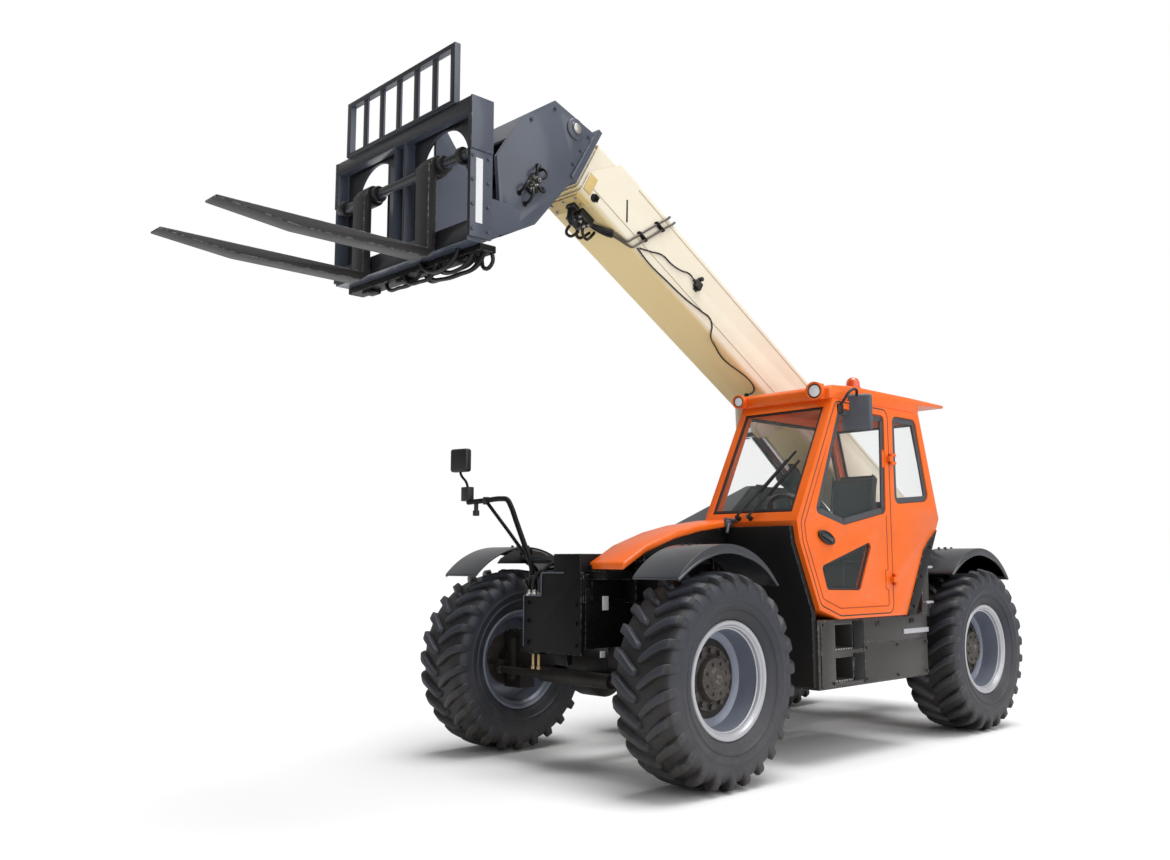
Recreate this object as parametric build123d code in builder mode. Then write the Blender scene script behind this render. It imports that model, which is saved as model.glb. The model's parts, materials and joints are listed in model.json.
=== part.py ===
from build123d import *
from functools import cache
from math import atan2, cos, degrees, hypot, radians, sin
import os

# A rough-terrain telescopic handler with its boom part raised, in millimetres. +X is forwards, +Y is
# the machine's left, +Z is up, and the origin is on the ground under the middle of the machine.
# A pair (x, z) is a side-view point: x counts forwards from the front axle, z up from the ground.

# Wheels and axles
AXLE_X = 712  # the front axle's station in the frame
WHEELBASE = 3280
TRACK = 1920
TYRE_RADIUS = 648
TYRE_WIDTH = 450
CARCASS_RADIUS = 610  # under the lugs
LUGS = 20  # in each of the tread's two rows
LUG_WIDTH = 62
LUG_ANGLE = 30
LUG_RADIUS = TYRE_RADIUS - 5  # at a lug's middle, so that its corners stay within the tyre's radius
RIM_RADIUS = 355
RIM_WIDTH = 370
RIM_WALL = 12
BEAD_RADIUS = 322  # the barrel that the tyre sits on
HUB_RADIUS = 178
HUB_REACH = 95  # from the wheel's middle plane outwards
SPINDLE_RADIUS = 90
KINGPIN_Y = 850
KINGPIN_RADIUS = 35
KNUCKLE_RADIUS = 75
KNUCKLE_HALF = 150
YOKE_ARM = 48
YOKE_HALF = 65
YOKE_REACH = 45  # from the kingpin out to the yoke arms' ends
AXLE_RADIUS = 90
FINAL_DRIVE_RADIUS = 190
STEER_ARM = 190  # from the kingpin back to the steering rod
STEER_DROP = 60  # the steering rod's height under the axle's centre line

# Frame
FRAME_INNER = 250  # half the width between the two main plates
FRAME_PLATE = 40
FRAME_FLOOR = 800  # underside of the main plates over the axles
FRAME_TOP = 1180
NOSE_X = 380
REAR_X = -4080

# Boom
BOOM_ANGLE = 30.4
PIVOT = (-3850, 1650)
PIVOT_PIN = 55
BASE_WIDTH = 400
BASE_HEIGHT = 460
BASE_FRONT = 4720
BASE_REAR = -270
NEST_STEP = 22  # each nested section is this much smaller all round than the one that holds it
WALL = 10
SECTION_RADIUS = 34
MID_RANGE = (170, 4742)
FLY_RANGE = (230, 4790)
FLANGE = 36
HEAD_HALF = 225
HEAD_PLATE = 30

# Cylinders: (s, n) is a point along the boom and up from its centre line
LIFT_FOOT = (-3700, 1000)
LIFT_EYE = (2200, -400)
TILT_FOOT = (4987, 73)
CARRIAGE_PIN = (5085, -860)
TILT_EYE = (1261, 3541)

# Carriage and forks
CARRIAGE_FACE = 1660
CARRIAGE_HALF = 715
CARRIAGE_LOW = 3100
CARRIAGE_TOP = 3920
FORK_SHAFT = (1640, 3600)
FORK_SHAFT_RADIUS = 30
FORK_Y = 340
FORK_WIDTH = 130
FORK_THICK = 55
FORK_TIP = (2950, 3112)
BACKREST_HEIGHT = 360
BACKREST_HALF = 555

# Cab
CAB_RIGHT = 330
CAB_LEFT = 1120
CAB_WALL = 45
CAB_TOP = 2480
ROOF_TOP = CAB_TOP + 120
ROOF_FRONT = -1190
CAB_FLOOR = 960
DOOR_GAP = 5
DOOR_HINGE = (-1930, 1142)  # x and y of the door's upright hinge pins
DOOR_PIN = 8
HINGE_RADIUS = 13
HINGE_HEIGHTS = (1180, 2060)
GLASS = 6

# Clearances
FIT = 0.5  # pins in bores, rods in glands and wear pads on a sliding section
SEAT = 0.3  # curved faces that seat on each other

boom_run = Vector(cos(radians(BOOM_ANGLE)), 0, sin(radians(BOOM_ANGLE)))
boom_foot = Vector(AXLE_X + PIVOT[0], 0, PIVOT[1])
SIDE = Plane(origin=(AXLE_X, 0, 0), x_dir=(1, 0, 0), z_dir=(0, -1, 0))
BOOM = Plane(origin=boom_foot, x_dir=boom_run, z_dir=(0, -1, 0))


def plate(outline, low, high, base=SIDE, radius=0, mode=Mode.ADD):
    """Adds to the open part an outline drawn in side view, between two Y stations."""
    with BuildSketch(base.offset(-high)) as sketch:
        with BuildLine():
            if radius:
                FilletPolyline(*outline, radius=radius, close=True)
            else:
                Polyline(*outline, close=True)
        make_face()
    extrude(sketch.sketch, amount=high - low, mode=mode)


def disc(centre, radius, low, high, base=SIDE, mode=Mode.ADD):
    """Adds to the open part a round disc or pin that lies across the machine."""
    with BuildSketch(base.offset(-high)) as sketch:
        with Locations(centre):
            Circle(radius)
    extrude(sketch.sketch, amount=high - low, mode=mode)


def block(x, y, z, mode=Mode.ADD):
    """Adds to the open part a box between two stations on each axis."""
    with BuildSketch(Plane((AXLE_X, 0, z[0]))) as sketch:
        with Locations(((x[0] + x[1]) / 2, (y[0] + y[1]) / 2)):
            Rectangle(abs(x[1] - x[0]), abs(y[1] - y[0]))
    extrude(sketch.sketch, amount=z[1] - z[0], mode=mode)


def bar(start, end, radius, mode=Mode.ADD):
    """Adds to the open part a round bar between two points (x, y, z)."""
    foot = Vector(AXLE_X + start[0], start[1], start[2])
    run = Vector(AXLE_X + end[0], end[1], end[2]) - foot
    with BuildSketch(Plane(origin=foot, z_dir=run)) as sketch:
        Circle(radius)
    extrude(sketch.sketch, amount=run.length, mode=mode)


def across(side, near, far):
    """The two Y stations, low then high, of what lies between two distances from the middle."""
    return sorted((side * near, side * far))


def off_boom(point):
    """A boom point (s, n) as a side-view point (x, z)."""
    angle = radians(BOOM_ANGLE)
    x = PIVOT[0] + point[0] * cos(angle) - point[1] * sin(angle)
    z = PIVOT[1] + point[0] * sin(angle) + point[1] * cos(angle)
    return (x, z)


def save(piece, name):
    """Labels a finished piece and writes its file."""
    piece.part.label = name
    export_step(piece.part, f"parts/{name}.step")


os.makedirs("parts", exist_ok=True)

# ---------------------------------------------------------------- wheels, knuckles and axles
half_tyre = TYRE_WIDTH / 2
half_rim = RIM_WIDTH / 2
wheel_z = TYRE_RADIUS
axles = (("front", 0, 1), ("rear", -WHEELBASE, -1))  # name, station, which way the steering rod lies
sides = (("left", 1), ("right", -1))



def facets(stations, mode=Mode.ADD):
    """Adds to the open part a body with as many flat sides as lugs, from (along, flat's radius) stations."""
    rings = []
    for along, radius in stations:
        with BuildSketch(Plane((0, 0, along))) as ring:
            RegularPolygon(radius, LUGS, major_radius=False)
        rings.append(ring.sketch.face())
    loft(rings, ruled=True, mode=mode)


@cache
def treaded_tyre():
    """The tyre round the Z axis: a faceted carcass with two staggered rows of slanted bar lugs."""
    seat = half_rim - RIM_WALL - FIT
    with BuildPart() as lug:
        with BuildSketch(Plane(origin=(0, LUG_WIDTH / 2, 0), x_dir=(0, 0, 1), z_dir=(0, 1, 0))):
            with BuildLine():
                Polyline(
                    (8, CARCASS_RADIUS - 25), (16, LUG_RADIUS), (half_tyre - 55, LUG_RADIUS),
                    (half_tyre - 5, 575), (half_tyre - 35, 545), close=True,
                )
            make_face()
        extrude(amount=-LUG_WIDTH)
    half_row = Location((0, 0, half_tyre / 2))
    turn = half_row * Location((0, 0, 0), (LUG_ANGLE, 0, 0)) * half_row.inverse()
    with BuildPart() as tyre:
        crown = half_tyre - 75
        facets(((-half_tyre, 535), (-crown, CARCASS_RADIUS), (crown, CARCASS_RADIUS), (half_tyre, 535)))
        slanted_lug = lug.part.moved(turn)
        with PolarLocations(0, LUGS):
            add(slanted_lug)
        with PolarLocations(0, LUGS, start_angle=180 / LUGS):
            add(mirror(slanted_lug, Plane.XY))
        facets(((-seat, BEAD_RADIUS + SEAT), (seat, BEAD_RADIUS + SEAT)), mode=Mode.SUBTRACT)
        for end in (1, -1):
            mouth = ((end * seat, RIM_RADIUS + SEAT), (end * (half_tyre + 1), 455))
            facets(mouth, mode=Mode.SUBTRACT)
    return tyre.part


for axle_name, axle_x, rod_side in axles:
    for side_name, side in sides:
        wheel = Plane(
            origin=(AXLE_X + axle_x, side * TRACK / 2, wheel_z), x_dir=(0, side, 0), z_dir=(side, 0, 0)
        )
        wheel_axis = Axis(wheel.origin, (0, 1, 0))
        with BuildPart() as tyre:
            add(treaded_tyre().moved(Plane(origin=wheel.origin, x_dir=(1, 0, 0), z_dir=(0, 1, 0)).location))
        save(tyre, f"tyre_{axle_name}_{side_name}")

        # Rim: barrel with two flanges, a disc and the planetary hub in one turned piece
        with BuildPart() as rim:
            with BuildSketch(wheel) as section:
                with BuildLine():
                    Polyline(
                        (-half_rim, BEAD_RADIUS - RIM_WALL),
                        (-half_rim, RIM_RADIUS),
                        (-half_rim + RIM_WALL, RIM_RADIUS),
                        (-half_rim + RIM_WALL, BEAD_RADIUS),
                        (half_rim - RIM_WALL, BEAD_RADIUS),
                        (half_rim - RIM_WALL, RIM_RADIUS),
                        (half_rim, RIM_RADIUS),
                        (half_rim, BEAD_RADIUS - RIM_WALL),
                        (RIM_WALL, BEAD_RADIUS - 3 * RIM_WALL),
                        (0, HUB_RADIUS),
                        (HUB_REACH / 2, HUB_RADIUS),
                        (HUB_REACH, HUB_RADIUS * 0.7),
                        (HUB_REACH, 0),
                        (HUB_REACH / 2, 0),
                        (HUB_REACH / 2, SPINDLE_RADIUS + FIT),
                        (-2 * RIM_WALL, SPINDLE_RADIUS + FIT),
                        (-2 * RIM_WALL, BEAD_RADIUS - 4 * RIM_WALL),
                        close=True,
                    )
                make_face()
            revolve(axis=wheel_axis)
        save(rim, f"rim_{axle_name}_{side_name}")

        # Knuckle: trunnion between the yoke's arms, spindle and steering arm
        with BuildPart() as knuckle:
            king = (axle_x, side * KINGPIN_Y)
            top = wheel_z + KNUCKLE_HALF
            low = wheel_z - KNUCKLE_HALF
            bar((*king, low), (*king, top), KNUCKLE_RADIUS)
            bar((*king, low - YOKE_ARM), (*king, top + YOKE_ARM), KINGPIN_RADIUS)
            spindle_end = side * (TRACK / 2 + HUB_REACH / 2 - FIT)
            bar((*king, wheel_z), (axle_x, spindle_end, wheel_z), SPINDLE_RADIUS)
            arm_z = (wheel_z - STEER_DROP + 32, wheel_z - STEER_DROP + 62)
            arm_tip = axle_x + rod_side * (STEER_ARM + 30)
            block(sorted((axle_x, arm_tip)), across(side, KINGPIN_Y - 20, KINGPIN_Y + 30), arm_z)
            ear = sorted((arm_tip - rod_side * 55, arm_tip))
            block(ear, across(side, KINGPIN_Y - 70, KINGPIN_Y - 19), arm_z)
        save(knuckle, f"knuckle_{axle_name}_{side_name}")

    # Axle: tube, final drive, yokes, pads under the frame and the steering cylinder's barrel
    rod_x = axle_x + rod_side * STEER_ARM
    rod_z = wheel_z - STEER_DROP
    with BuildPart() as axle:
        bar((axle_x, -KINGPIN_Y + 130, wheel_z), (axle_x, KINGPIN_Y - 130, wheel_z), AXLE_RADIUS)
        with BuildSketch(Plane(origin=(AXLE_X + axle_x, 0, wheel_z), x_dir=(0, 1, 0), z_dir=(1, 0, 0))):
            with BuildLine():
                Polyline(
                    (-200, 0), (-200, AXLE_RADIUS), (-90, FINAL_DRIVE_RADIUS),
                    (90, FINAL_DRIVE_RADIUS), (200, AXLE_RADIUS), (200, 0), close=True,
                )
            make_face()
        revolve(axis=Axis((AXLE_X + axle_x, 0, wheel_z), (0, 1, 0)))
        for side in (1, -1):
            web = across(side, KINGPIN_Y - 132, KINGPIN_Y - KNUCKLE_RADIUS - 7)
            arms = across(side, KINGPIN_Y - 132, KINGPIN_Y + YOKE_REACH)
            reach = KNUCKLE_HALF + YOKE_ARM
            x = (axle_x - YOKE_HALF, axle_x + YOKE_HALF)
            block(x, web, (wheel_z - reach, wheel_z + reach))
            block(x, arms, (wheel_z + KNUCKLE_HALF + FIT, wheel_z + reach))
            block(x, arms, (wheel_z - reach, wheel_z - KNUCKLE_HALF - FIT))
            king = (axle_x, side * KINGPIN_Y)
            bar((*king, 0), (*king, 2 * wheel_z), KINGPIN_RADIUS + FIT, mode=Mode.SUBTRACT)
            pad = across(side, FRAME_INNER - 20, FRAME_INNER + 150)
            block((axle_x - 120, axle_x + 120), pad, (wheel_z, FRAME_FLOOR))
            bracket = across(side, 260, 320)
            block(sorted((axle_x, rod_x)), bracket, (rod_z - 45, rod_z + 45))
        bar((rod_x, -330, rod_z), (rod_x, 330, rod_z), 48)
        bar((rod_x, -331, rod_z), (rod_x, 331, rod_z), 25 + FIT, mode=Mode.SUBTRACT)
    save(axle, f"{axle_name}_axle")

    # Steering rod: slides through its cylinder, an eye under each knuckle's arm
    with BuildPart() as steering_rod:
        eye_y = KINGPIN_Y - 60
        bar((rod_x, -eye_y, rod_z), (rod_x, eye_y, rod_z), 25)
        for side in (1, -1):
            bar((rod_x, side * eye_y, rod_z - 26), (rod_x, side * eye_y, rod_z + 26), 34)
    save(steering_rod, f"{axle_name}_steering_rod")

with BuildPart() as driveline:
    gearbox = (-2050, -1650)
    block(gearbox, (-180, 180), (520, 860))
    drive_ends = (-FINAL_DRIVE_RADIUS - SEAT, FINAL_DRIVE_RADIUS + SEAT - WHEELBASE)
    for start, end in zip(reversed(gearbox), drive_ends):
        bar((start, 0, wheel_z), (end, 0, wheel_z), 42)
save(driveline, "driveline")

# ---------------------------------------------------------------- frame
frame_outer = FRAME_INNER + FRAME_PLATE
with BuildPart() as chassis_frame:
    for side in (1, -1):
        plate(
            (
                (NOSE_X, FRAME_FLOOR),
                (NOSE_X, FRAME_TOP),
                (-2550, FRAME_TOP),
                (PIVOT[0] + 350, PIVOT[1] + 210),
                (PIVOT[0] - 110, PIVOT[1] + 210),
                (REAR_X, 1300),
                (REAR_X, 860),
                (-3950, FRAME_FLOOR),
                (-2800, FRAME_FLOOR),
                (-2650, 560),
                (-650, 560),
                (-500, FRAME_FLOOR),
            ),
            *across(side, FRAME_INNER, frame_outer),
        )
        disc(PIVOT, 2 * PIVOT_PIN, *across(side, frame_outer, frame_outer + 20))
        disc(LIFT_FOOT, 80, *across(side, frame_outer, frame_outer + 15))
    inside = (-FRAME_INNER, FRAME_INNER)
    for x, z in (
        ((NOSE_X - 60, NOSE_X), (FRAME_FLOOR, 1150)),
        ((-900, -820), (580, 1000)),
        ((-2500, -2420), (580, 940)),
        ((REAR_X, REAR_X + 40), (900, 1200)),
    ):
        block(x, inside, z)
    disc(PIVOT, PIVOT_PIN, *inside)
    disc(LIFT_FOOT, 40, *inside)
    for x in ((-900, -820), (-2500, -2420)):
        z = (wheel_z - 60, wheel_z + 60)
        block(x, (-60, 60), z, mode=Mode.SUBTRACT)
save(chassis_frame, "chassis_frame")

NOSE_PLATE = 30
HITCH_LOW = 880  # tow hitch: a clevis of two flat ears with a vertical pin hole
HITCH_HEIGHT = 120
HITCH_EAR = 25
HITCH_RADIUS = 16
with BuildPart() as nose_plate:
    front = (NOSE_X, NOSE_X + NOSE_PLATE)
    block(front, (-280, 280), (760, 1130))
    block(front, (-100, 280), (1130, 1280))
    block((NOSE_X - 180, NOSE_X + NOSE_PLATE), (20, 270), (1250, 1400))
    block((NOSE_X - 60, NOSE_X), (20, FRAME_INNER), (1150, 1250))
save(nose_plate, "nose_plate")

with BuildPart() as counterweight:
    plate(
        (
            (REAR_X, 740), (REAR_X - 120, 740), (REAR_X - 185, 860),
            (REAR_X - 185, 1160), (REAR_X - 140, 1230), (REAR_X, 1230),
        ),
        -720, 720,
    )
    hitch_x = REAR_X - 185
    for z in (HITCH_LOW, HITCH_LOW + HITCH_HEIGHT - HITCH_EAR):
        block((hitch_x - 110, hitch_x), (-70, 70), (z, z + HITCH_EAR))
    bar(
        (hitch_x - 60, 0, HITCH_LOW - 1), (hitch_x - 60, 0, HITCH_LOW + HITCH_HEIGHT + 1), HITCH_RADIUS,
        mode=Mode.SUBTRACT,
    )
save(counterweight, "counterweight")

# ---------------------------------------------------------------- bodywork
cowl_line = ((330, 1345), (120, 1455), (-160, 1545), (-410, 1598), (-745, 1640))
COWL = 48
cowl_right = 270
cowl_left = 580
FENDER = 14
FENDER_LIP = 54  # depth of the rim that hangs from the fender's outer edge
fender_inner = 760
fender_outer = 1125
for axle_name, axle_x, left_root in (("front", 0, cowl_left - 20), ("rear", -WHEELBASE, frame_outer)):
    tip = (axle_x + 440, 1258)
    crown = (axle_x - 20, 1457)
    tail = (axle_x - 520, 1208)
    with BuildPart() as fenders:
        for side in (1, -1):
            for near, depth in ((fender_inner, FENDER), (fender_outer - FENDER, FENDER_LIP)):
                low, high = across(side, near, fender_outer)
                with BuildSketch(SIDE.offset(-high)) as section:
                    with BuildLine():
                        upper = ThreePointArc(tip, crown, tail)
                        lower = ThreePointArc(
                            (tail[0], tail[1] - FENDER), (crown[0], crown[1] - depth),
                            (tip[0], tip[1] - FENDER),
                        )
                        Line(upper @ 1, lower @ 0)
                        Line(lower @ 1, upper @ 0)
                    make_face()
                extrude(section.sketch, amount=high - low)
            root = left_root if side == 1 else frame_outer
            post = (crown[0] - 60, crown[0] + 60)
            shelf = crown[1] - 98
            block(post, across(side, root, fender_inner + 60), (shelf, shelf + 30))
            block(post, across(side, fender_inner, fender_inner + 60), (shelf, crown[1] - FENDER + 4))
            if root == frame_outer:
                block(post, across(side, root, root + 40), (FRAME_TOP - 100, shelf))
    save(fenders, f"{axle_name}_fenders")

with BuildPart() as cowl:
    under = [(x, z - COWL) for x, z in reversed(cowl_line)]
    plate((*cowl_line, *under), cowl_right, cowl_left)
save(cowl, "cowl")

with BuildPart() as cowl_base:
    plate(
        (
            (120, 1455 - COWL), (-160, 1545 - COWL), (-410, 1598 - COWL),
            (-700, 1580), (-700, 1370), (120, 1350),
        ),
        frame_outer, cowl_left - 20,
    )
    block((-700, 30), (frame_outer, 400), (FRAME_TOP - 100, 1380))
save(cowl_base, "cowl_base")

with BuildPart() as front_mudguard:
    plate(
        (
            (-712, 1585), (-735, 1460), (-940, 1020), (-945, 520),
            (-985, 520), (-985, 1030), (-775, 1480), (-752, 1585),
        ),
        405, CAB_LEFT - 35,
    )
save(front_mudguard, "front_mudguard")

BOX_FRONT = -985
BOX_REAR = -2430
BOX_LOW = 500
with BuildPart() as side_box:
    block((BOX_REAR, BOX_FRONT), (frame_outer, 1100), (BOX_LOW, CAB_FLOOR))
    for z in ((BOX_LOW + 40, 700), (750, 920)):
        block((-1400, -1190), (850, 1101), z, mode=Mode.SUBTRACT)
save(side_box, "side_box")

BAY_TOP = 1090
HOOD_HINGE = (-331, 1992)  # y and z of the hood's hinge pins
HOOD_PIN = 8
HINGE_BARREL = 14
hood_hinges = (-2850, -2300)  # x of each hinge's middle
with BuildPart() as engine_bay:
    block((BOX_REAR, BOX_FRONT), (-1060, -frame_outer), (BOX_LOW, BAY_TOP))
    hinge_y, hinge_z = HOOD_HINGE
    rail = (hinge_y - 6, hinge_y + 6)
    block((hood_hinges[0] - 70, hood_hinges[1] + 70), rail, (hinge_z - 80, hinge_z - 30))
    block((hood_hinges[1] - 40, hood_hinges[1] + 40), rail, (BAY_TOP, hinge_z - 30))
    for x in hood_hinges:
        for end in (x - 55, x + 35):
            block((end, end + 20), rail, (hinge_z - 31, hinge_z))
            bar((end, hinge_y, hinge_z), (end + 20, hinge_y, hinge_z), HINGE_BARREL)
        bar((x - 55, hinge_y, hinge_z), (x + 55, hinge_y, hinge_z), HOOD_PIN)
save(engine_bay, "engine_bay")

with BuildPart() as engine:
    block((-2400, -1780), (-900, -400), (BAY_TOP, 1500))
save(engine, "engine")

hood_line = ((-1050, 1330), (-1750, 1640), (-2180, 1990), (-3080, 2000), (-3290, 1850))
HOOD = 26
hood_inner = -345
hood_outer = -1040


def hood_slope(drop):
    """Cuts from the open part what lies above the hood's slope down to its outer side, lowered by drop."""
    with BuildSketch(Plane(origin=(AXLE_X - 3400, 0, 0), x_dir=(0, 1, 0), z_dir=(1, 0, 0))) as wedge:
        with BuildLine():
            Polyline(
                (hood_inner - 35, 2001 - drop), (hood_outer - 1, 1540 - drop), (hood_outer - 1, 2100),
                (hood_inner - 35, 2100), close=True,
            )
        make_face()
    extrude(wedge.sketch, amount=2400, mode=Mode.SUBTRACT)


with BuildPart() as engine_hood:
    belly = ((-3290, 1500), (-2520, 1500), (-2420, BAY_TOP + SEAT), (-1050, BAY_TOP + SEAT))
    plate((*hood_line, *belly), hood_outer, hood_inner)
    hood_slope(0)
    hollow = (
        (-1050 - HOOD, 1330 - HOOD), (-1750, 1640 - HOOD), (-2180, 1990 - HOOD), (-3080, 2000 - HOOD),
        (-3290 + HOOD, 1850 - HOOD), (-3290 + HOOD, 1400),
        (-2420, BAY_TOP - 50), (-1050 - HOOD, BAY_TOP - 50),
    )
    with BuildPart(mode=Mode.PRIVATE) as void:
        plate(hollow, hood_outer + HOOD, hood_inner + 1)
        hood_slope(HOOD)
    add(void.part, mode=Mode.SUBTRACT)
    for step in range(6):
        low = 1220 + 45 * step
        block((-2250, -1750), (hood_outer - 1, hood_outer + HOOD + 1), (low, low + 22), mode=Mode.SUBTRACT)
    for x in hood_hinges:
        block((x - 62, x + 62), (hood_inner - 30, hood_inner + 2), (1950, 2002), mode=Mode.SUBTRACT)
        ear = (x - 35 + FIT, x + 35 - FIT)
        block(ear, (hood_inner - 40, hinge_y), (hinge_z - 10, hinge_z + 4))
        bar((ear[0], hinge_y, hinge_z), (ear[1], hinge_y, hinge_z), HINGE_BARREL)
        bore = ((ear[0] - 1, hinge_y, hinge_z), (ear[1] + 1, hinge_y, hinge_z))
        bar(*bore, HOOD_PIN + FIT, mode=Mode.SUBTRACT)
save(engine_hood, "engine_hood")

with BuildPart() as hydraulic_tank:
    block((-3330, -2730), (frame_outer, 680), (1500, 1840))
    block((-2900, -2810), (frame_outer, 400), (FRAME_TOP, 1500))
save(hydraulic_tank, "hydraulic_tank")

# ---------------------------------------------------------------- cab
cab_line = (
    (-745, 1620), (-1215, CAB_TOP), (-2385, CAB_TOP), (-2640, 1680),
    (-2230, CAB_FLOOR), (-1220, CAB_FLOOR), (-985, 1030), (-775, 1480),
)
cab_inside = (
    (-800, 1610), (-1250, CAB_TOP + 1), (-2340, CAB_TOP + 1), (-2585, 1690),
    (-2200, CAB_FLOOR + CAB_WALL), (-1240, CAB_FLOOR + CAB_WALL), (-1025, 1060), (-830, 1480),
)
door_line = (
    (-1008, 1062), (-1240, 985), (-1925, 985), (-1925, CAB_TOP - 18), (-1247, CAB_TOP - 18), (-795, 1612),
    (-815, 1480),
)
door_glass_line = ((-960, 1680), (-1310, 1600), (-1860, 1700), (-1880, CAB_TOP - 60), (-1280, CAB_TOP - 60))
door_vent_line = ((-1020, 1320), (-1670, 1500), (-1490, 1150), (-1080, 1160))
quarter_line = ((-1990, 1770), (-1990, CAB_TOP - 50), (-2330, CAB_TOP - 50), (-2500, 1810))
right_line = ((-870, 1650), (-1275, CAB_TOP - 60), (-2320, CAB_TOP - 60), (-2530, 1720))


def slanted(low_point, high_point, z_low, z_high, depth, reach):
    """Side-view outline of a band along a slanted wall, from depth inside it to reach outside."""
    lean = (high_point[0] - low_point[0]) / (high_point[1] - low_point[1])
    x_low = low_point[0] + lean * (z_low - low_point[1])
    x_high = low_point[0] + lean * (z_high - low_point[1])
    outside = ((x_low + reach, z_low), (x_high + reach, z_high))
    inside = ((x_high - depth, z_high), (x_low - depth, z_low))
    return (*outside, *inside)


screen = (cab_line[0], cab_line[1], 1680, CAB_TOP - 55)  # foot, head, and the glass's lower and upper edge
rear_screen = (cab_line[3], cab_line[2], 1780, CAB_TOP - 70)
front_glass_y = (CAB_RIGHT + 50, CAB_LEFT - 60)
with BuildPart() as cab_frame:
    plate(cab_line, CAB_RIGHT, CAB_LEFT)
    plate(cab_inside, CAB_RIGHT + CAB_WALL, CAB_LEFT - CAB_WALL, mode=Mode.SUBTRACT)
    plate(slanted(*screen, 120, 100), *front_glass_y, mode=Mode.SUBTRACT)
    plate(slanted(*rear_screen, 100, 120), *front_glass_y, mode=Mode.SUBTRACT)
    plate(right_line, CAB_RIGHT - 1, CAB_RIGHT + CAB_WALL + 1, radius=60, mode=Mode.SUBTRACT)
    plate(quarter_line, CAB_LEFT - CAB_WALL - 1, CAB_LEFT + 1, radius=60, mode=Mode.SUBTRACT)
    with BuildSketch(SIDE.offset(-CAB_LEFT - 1)) as doorway:
        with BuildLine():
            FilletPolyline(*door_line, radius=60, close=True)
        make_face()
        offset(amount=DOOR_GAP)
    extrude(doorway.sketch, amount=CAB_WALL + 2, mode=Mode.SUBTRACT)
    hinge_x, hinge_y = DOOR_HINGE
    for low in HINGE_HEIGHTS:
        for z in ((low, low + 20), (low + 60, low + 80)):
            block((hinge_x - 45, hinge_x - 2), (CAB_LEFT - 4, hinge_y + HINGE_RADIUS), z)
            bar((*DOOR_HINGE, z[0]), (*DOOR_HINGE, z[1]), HINGE_RADIUS)
        bar((*DOOR_HINGE, low), (*DOOR_HINGE, low + 80), DOOR_PIN)
save(cab_frame, "cab_frame")

with BuildPart() as cab_roof:
    plate(
        (
            (ROOF_FRONT, CAB_TOP), (ROOF_FRONT, ROOF_TOP - 44), (ROOF_FRONT - 40, ROOF_TOP - 20),
            (-1500, ROOF_TOP), (-2300, ROOF_TOP), (-2820, ROOF_TOP - 8), (-2820, ROOF_TOP - 32),
            (-2420, ROOF_TOP - 52), (-2410, CAB_TOP),
        ),
        CAB_RIGHT - 25, CAB_LEFT - 10,
    )
save(cab_roof, "cab_roof")

with BuildPart() as cab_windows:
    plate(slanted(*screen, 25, -25 + GLASS), *front_glass_y)
    plate(slanted(*rear_screen, -25 + GLASS, 25), *front_glass_y)
    plate(right_line, CAB_RIGHT + 20, CAB_RIGHT + 20 + GLASS, radius=60)
    plate(quarter_line, CAB_LEFT - 20 - GLASS, CAB_LEFT - 20, radius=60)
save(cab_windows, "cab_windows")

with BuildPart() as door:
    plate(door_line, CAB_LEFT - CAB_WALL, CAB_LEFT, radius=60)
    plate(door_glass_line, CAB_LEFT - CAB_WALL - 1, CAB_LEFT + 1, radius=40, mode=Mode.SUBTRACT)
    plate(door_vent_line, CAB_LEFT - CAB_WALL - 1, CAB_LEFT + 1, radius=30, mode=Mode.SUBTRACT)
    for low in HINGE_HEIGHTS:
        z = (low + 20 + FIT, low + 60 - FIT)
        block((hinge_x, hinge_x + 40), (CAB_LEFT, hinge_y + 10), z)
        bar((*DOOR_HINGE, z[0]), (*DOOR_HINGE, z[1]), HINGE_RADIUS)
        bar((*DOOR_HINGE, z[0] - 1), (*DOOR_HINGE, z[1] + 1), DOOR_PIN + FIT, mode=Mode.SUBTRACT)
save(door, "door")

with BuildPart() as door_windows:
    plate(door_glass_line, CAB_LEFT - 20 - GLASS, CAB_LEFT - 20, radius=40)
    plate(door_vent_line, CAB_LEFT - 20 - GLASS, CAB_LEFT - 20, radius=30)
save(door_windows, "door_windows")

cab_middle = (CAB_RIGHT + CAB_LEFT) / 2
deck = CAB_FLOOR + CAB_WALL
with BuildPart() as seat_base:
    block((-2000, -1620), (cab_middle - 180, cab_middle + 180), (deck, 1330))
save(seat_base, "seat_base")

with BuildPart() as seat:
    plate(
        (
            (-1540, 1340), (-1540, 1440), (-1600, 1465), (-1960, 1450), (-2060, 2040),
            (-2150, 2040), (-2090, 1430), (-2060, 1330), (-1600, 1330),
        ),
        cab_middle - 240, cab_middle + 240,
    )
save(seat, "seat")

toe_slope = (1060 - deck) / (1240 - 1025)  # the floor's rise towards the front, as in cab_inside
with BuildPart() as dashboard:
    plate(
        (
            (-905, 1600), (-1060, 1590), (-1150, 1490), (-1140, 1430), (-1100, 1400),
            (-1100, deck + 140 * toe_slope), (-1060, deck + 180 * toe_slope), (-1060, 1370), (-880, 1440),
        ),
        CAB_RIGHT + CAB_WALL + 60, CAB_LEFT - CAB_WALL - 60,
    )
save(dashboard, "dashboard")

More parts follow.
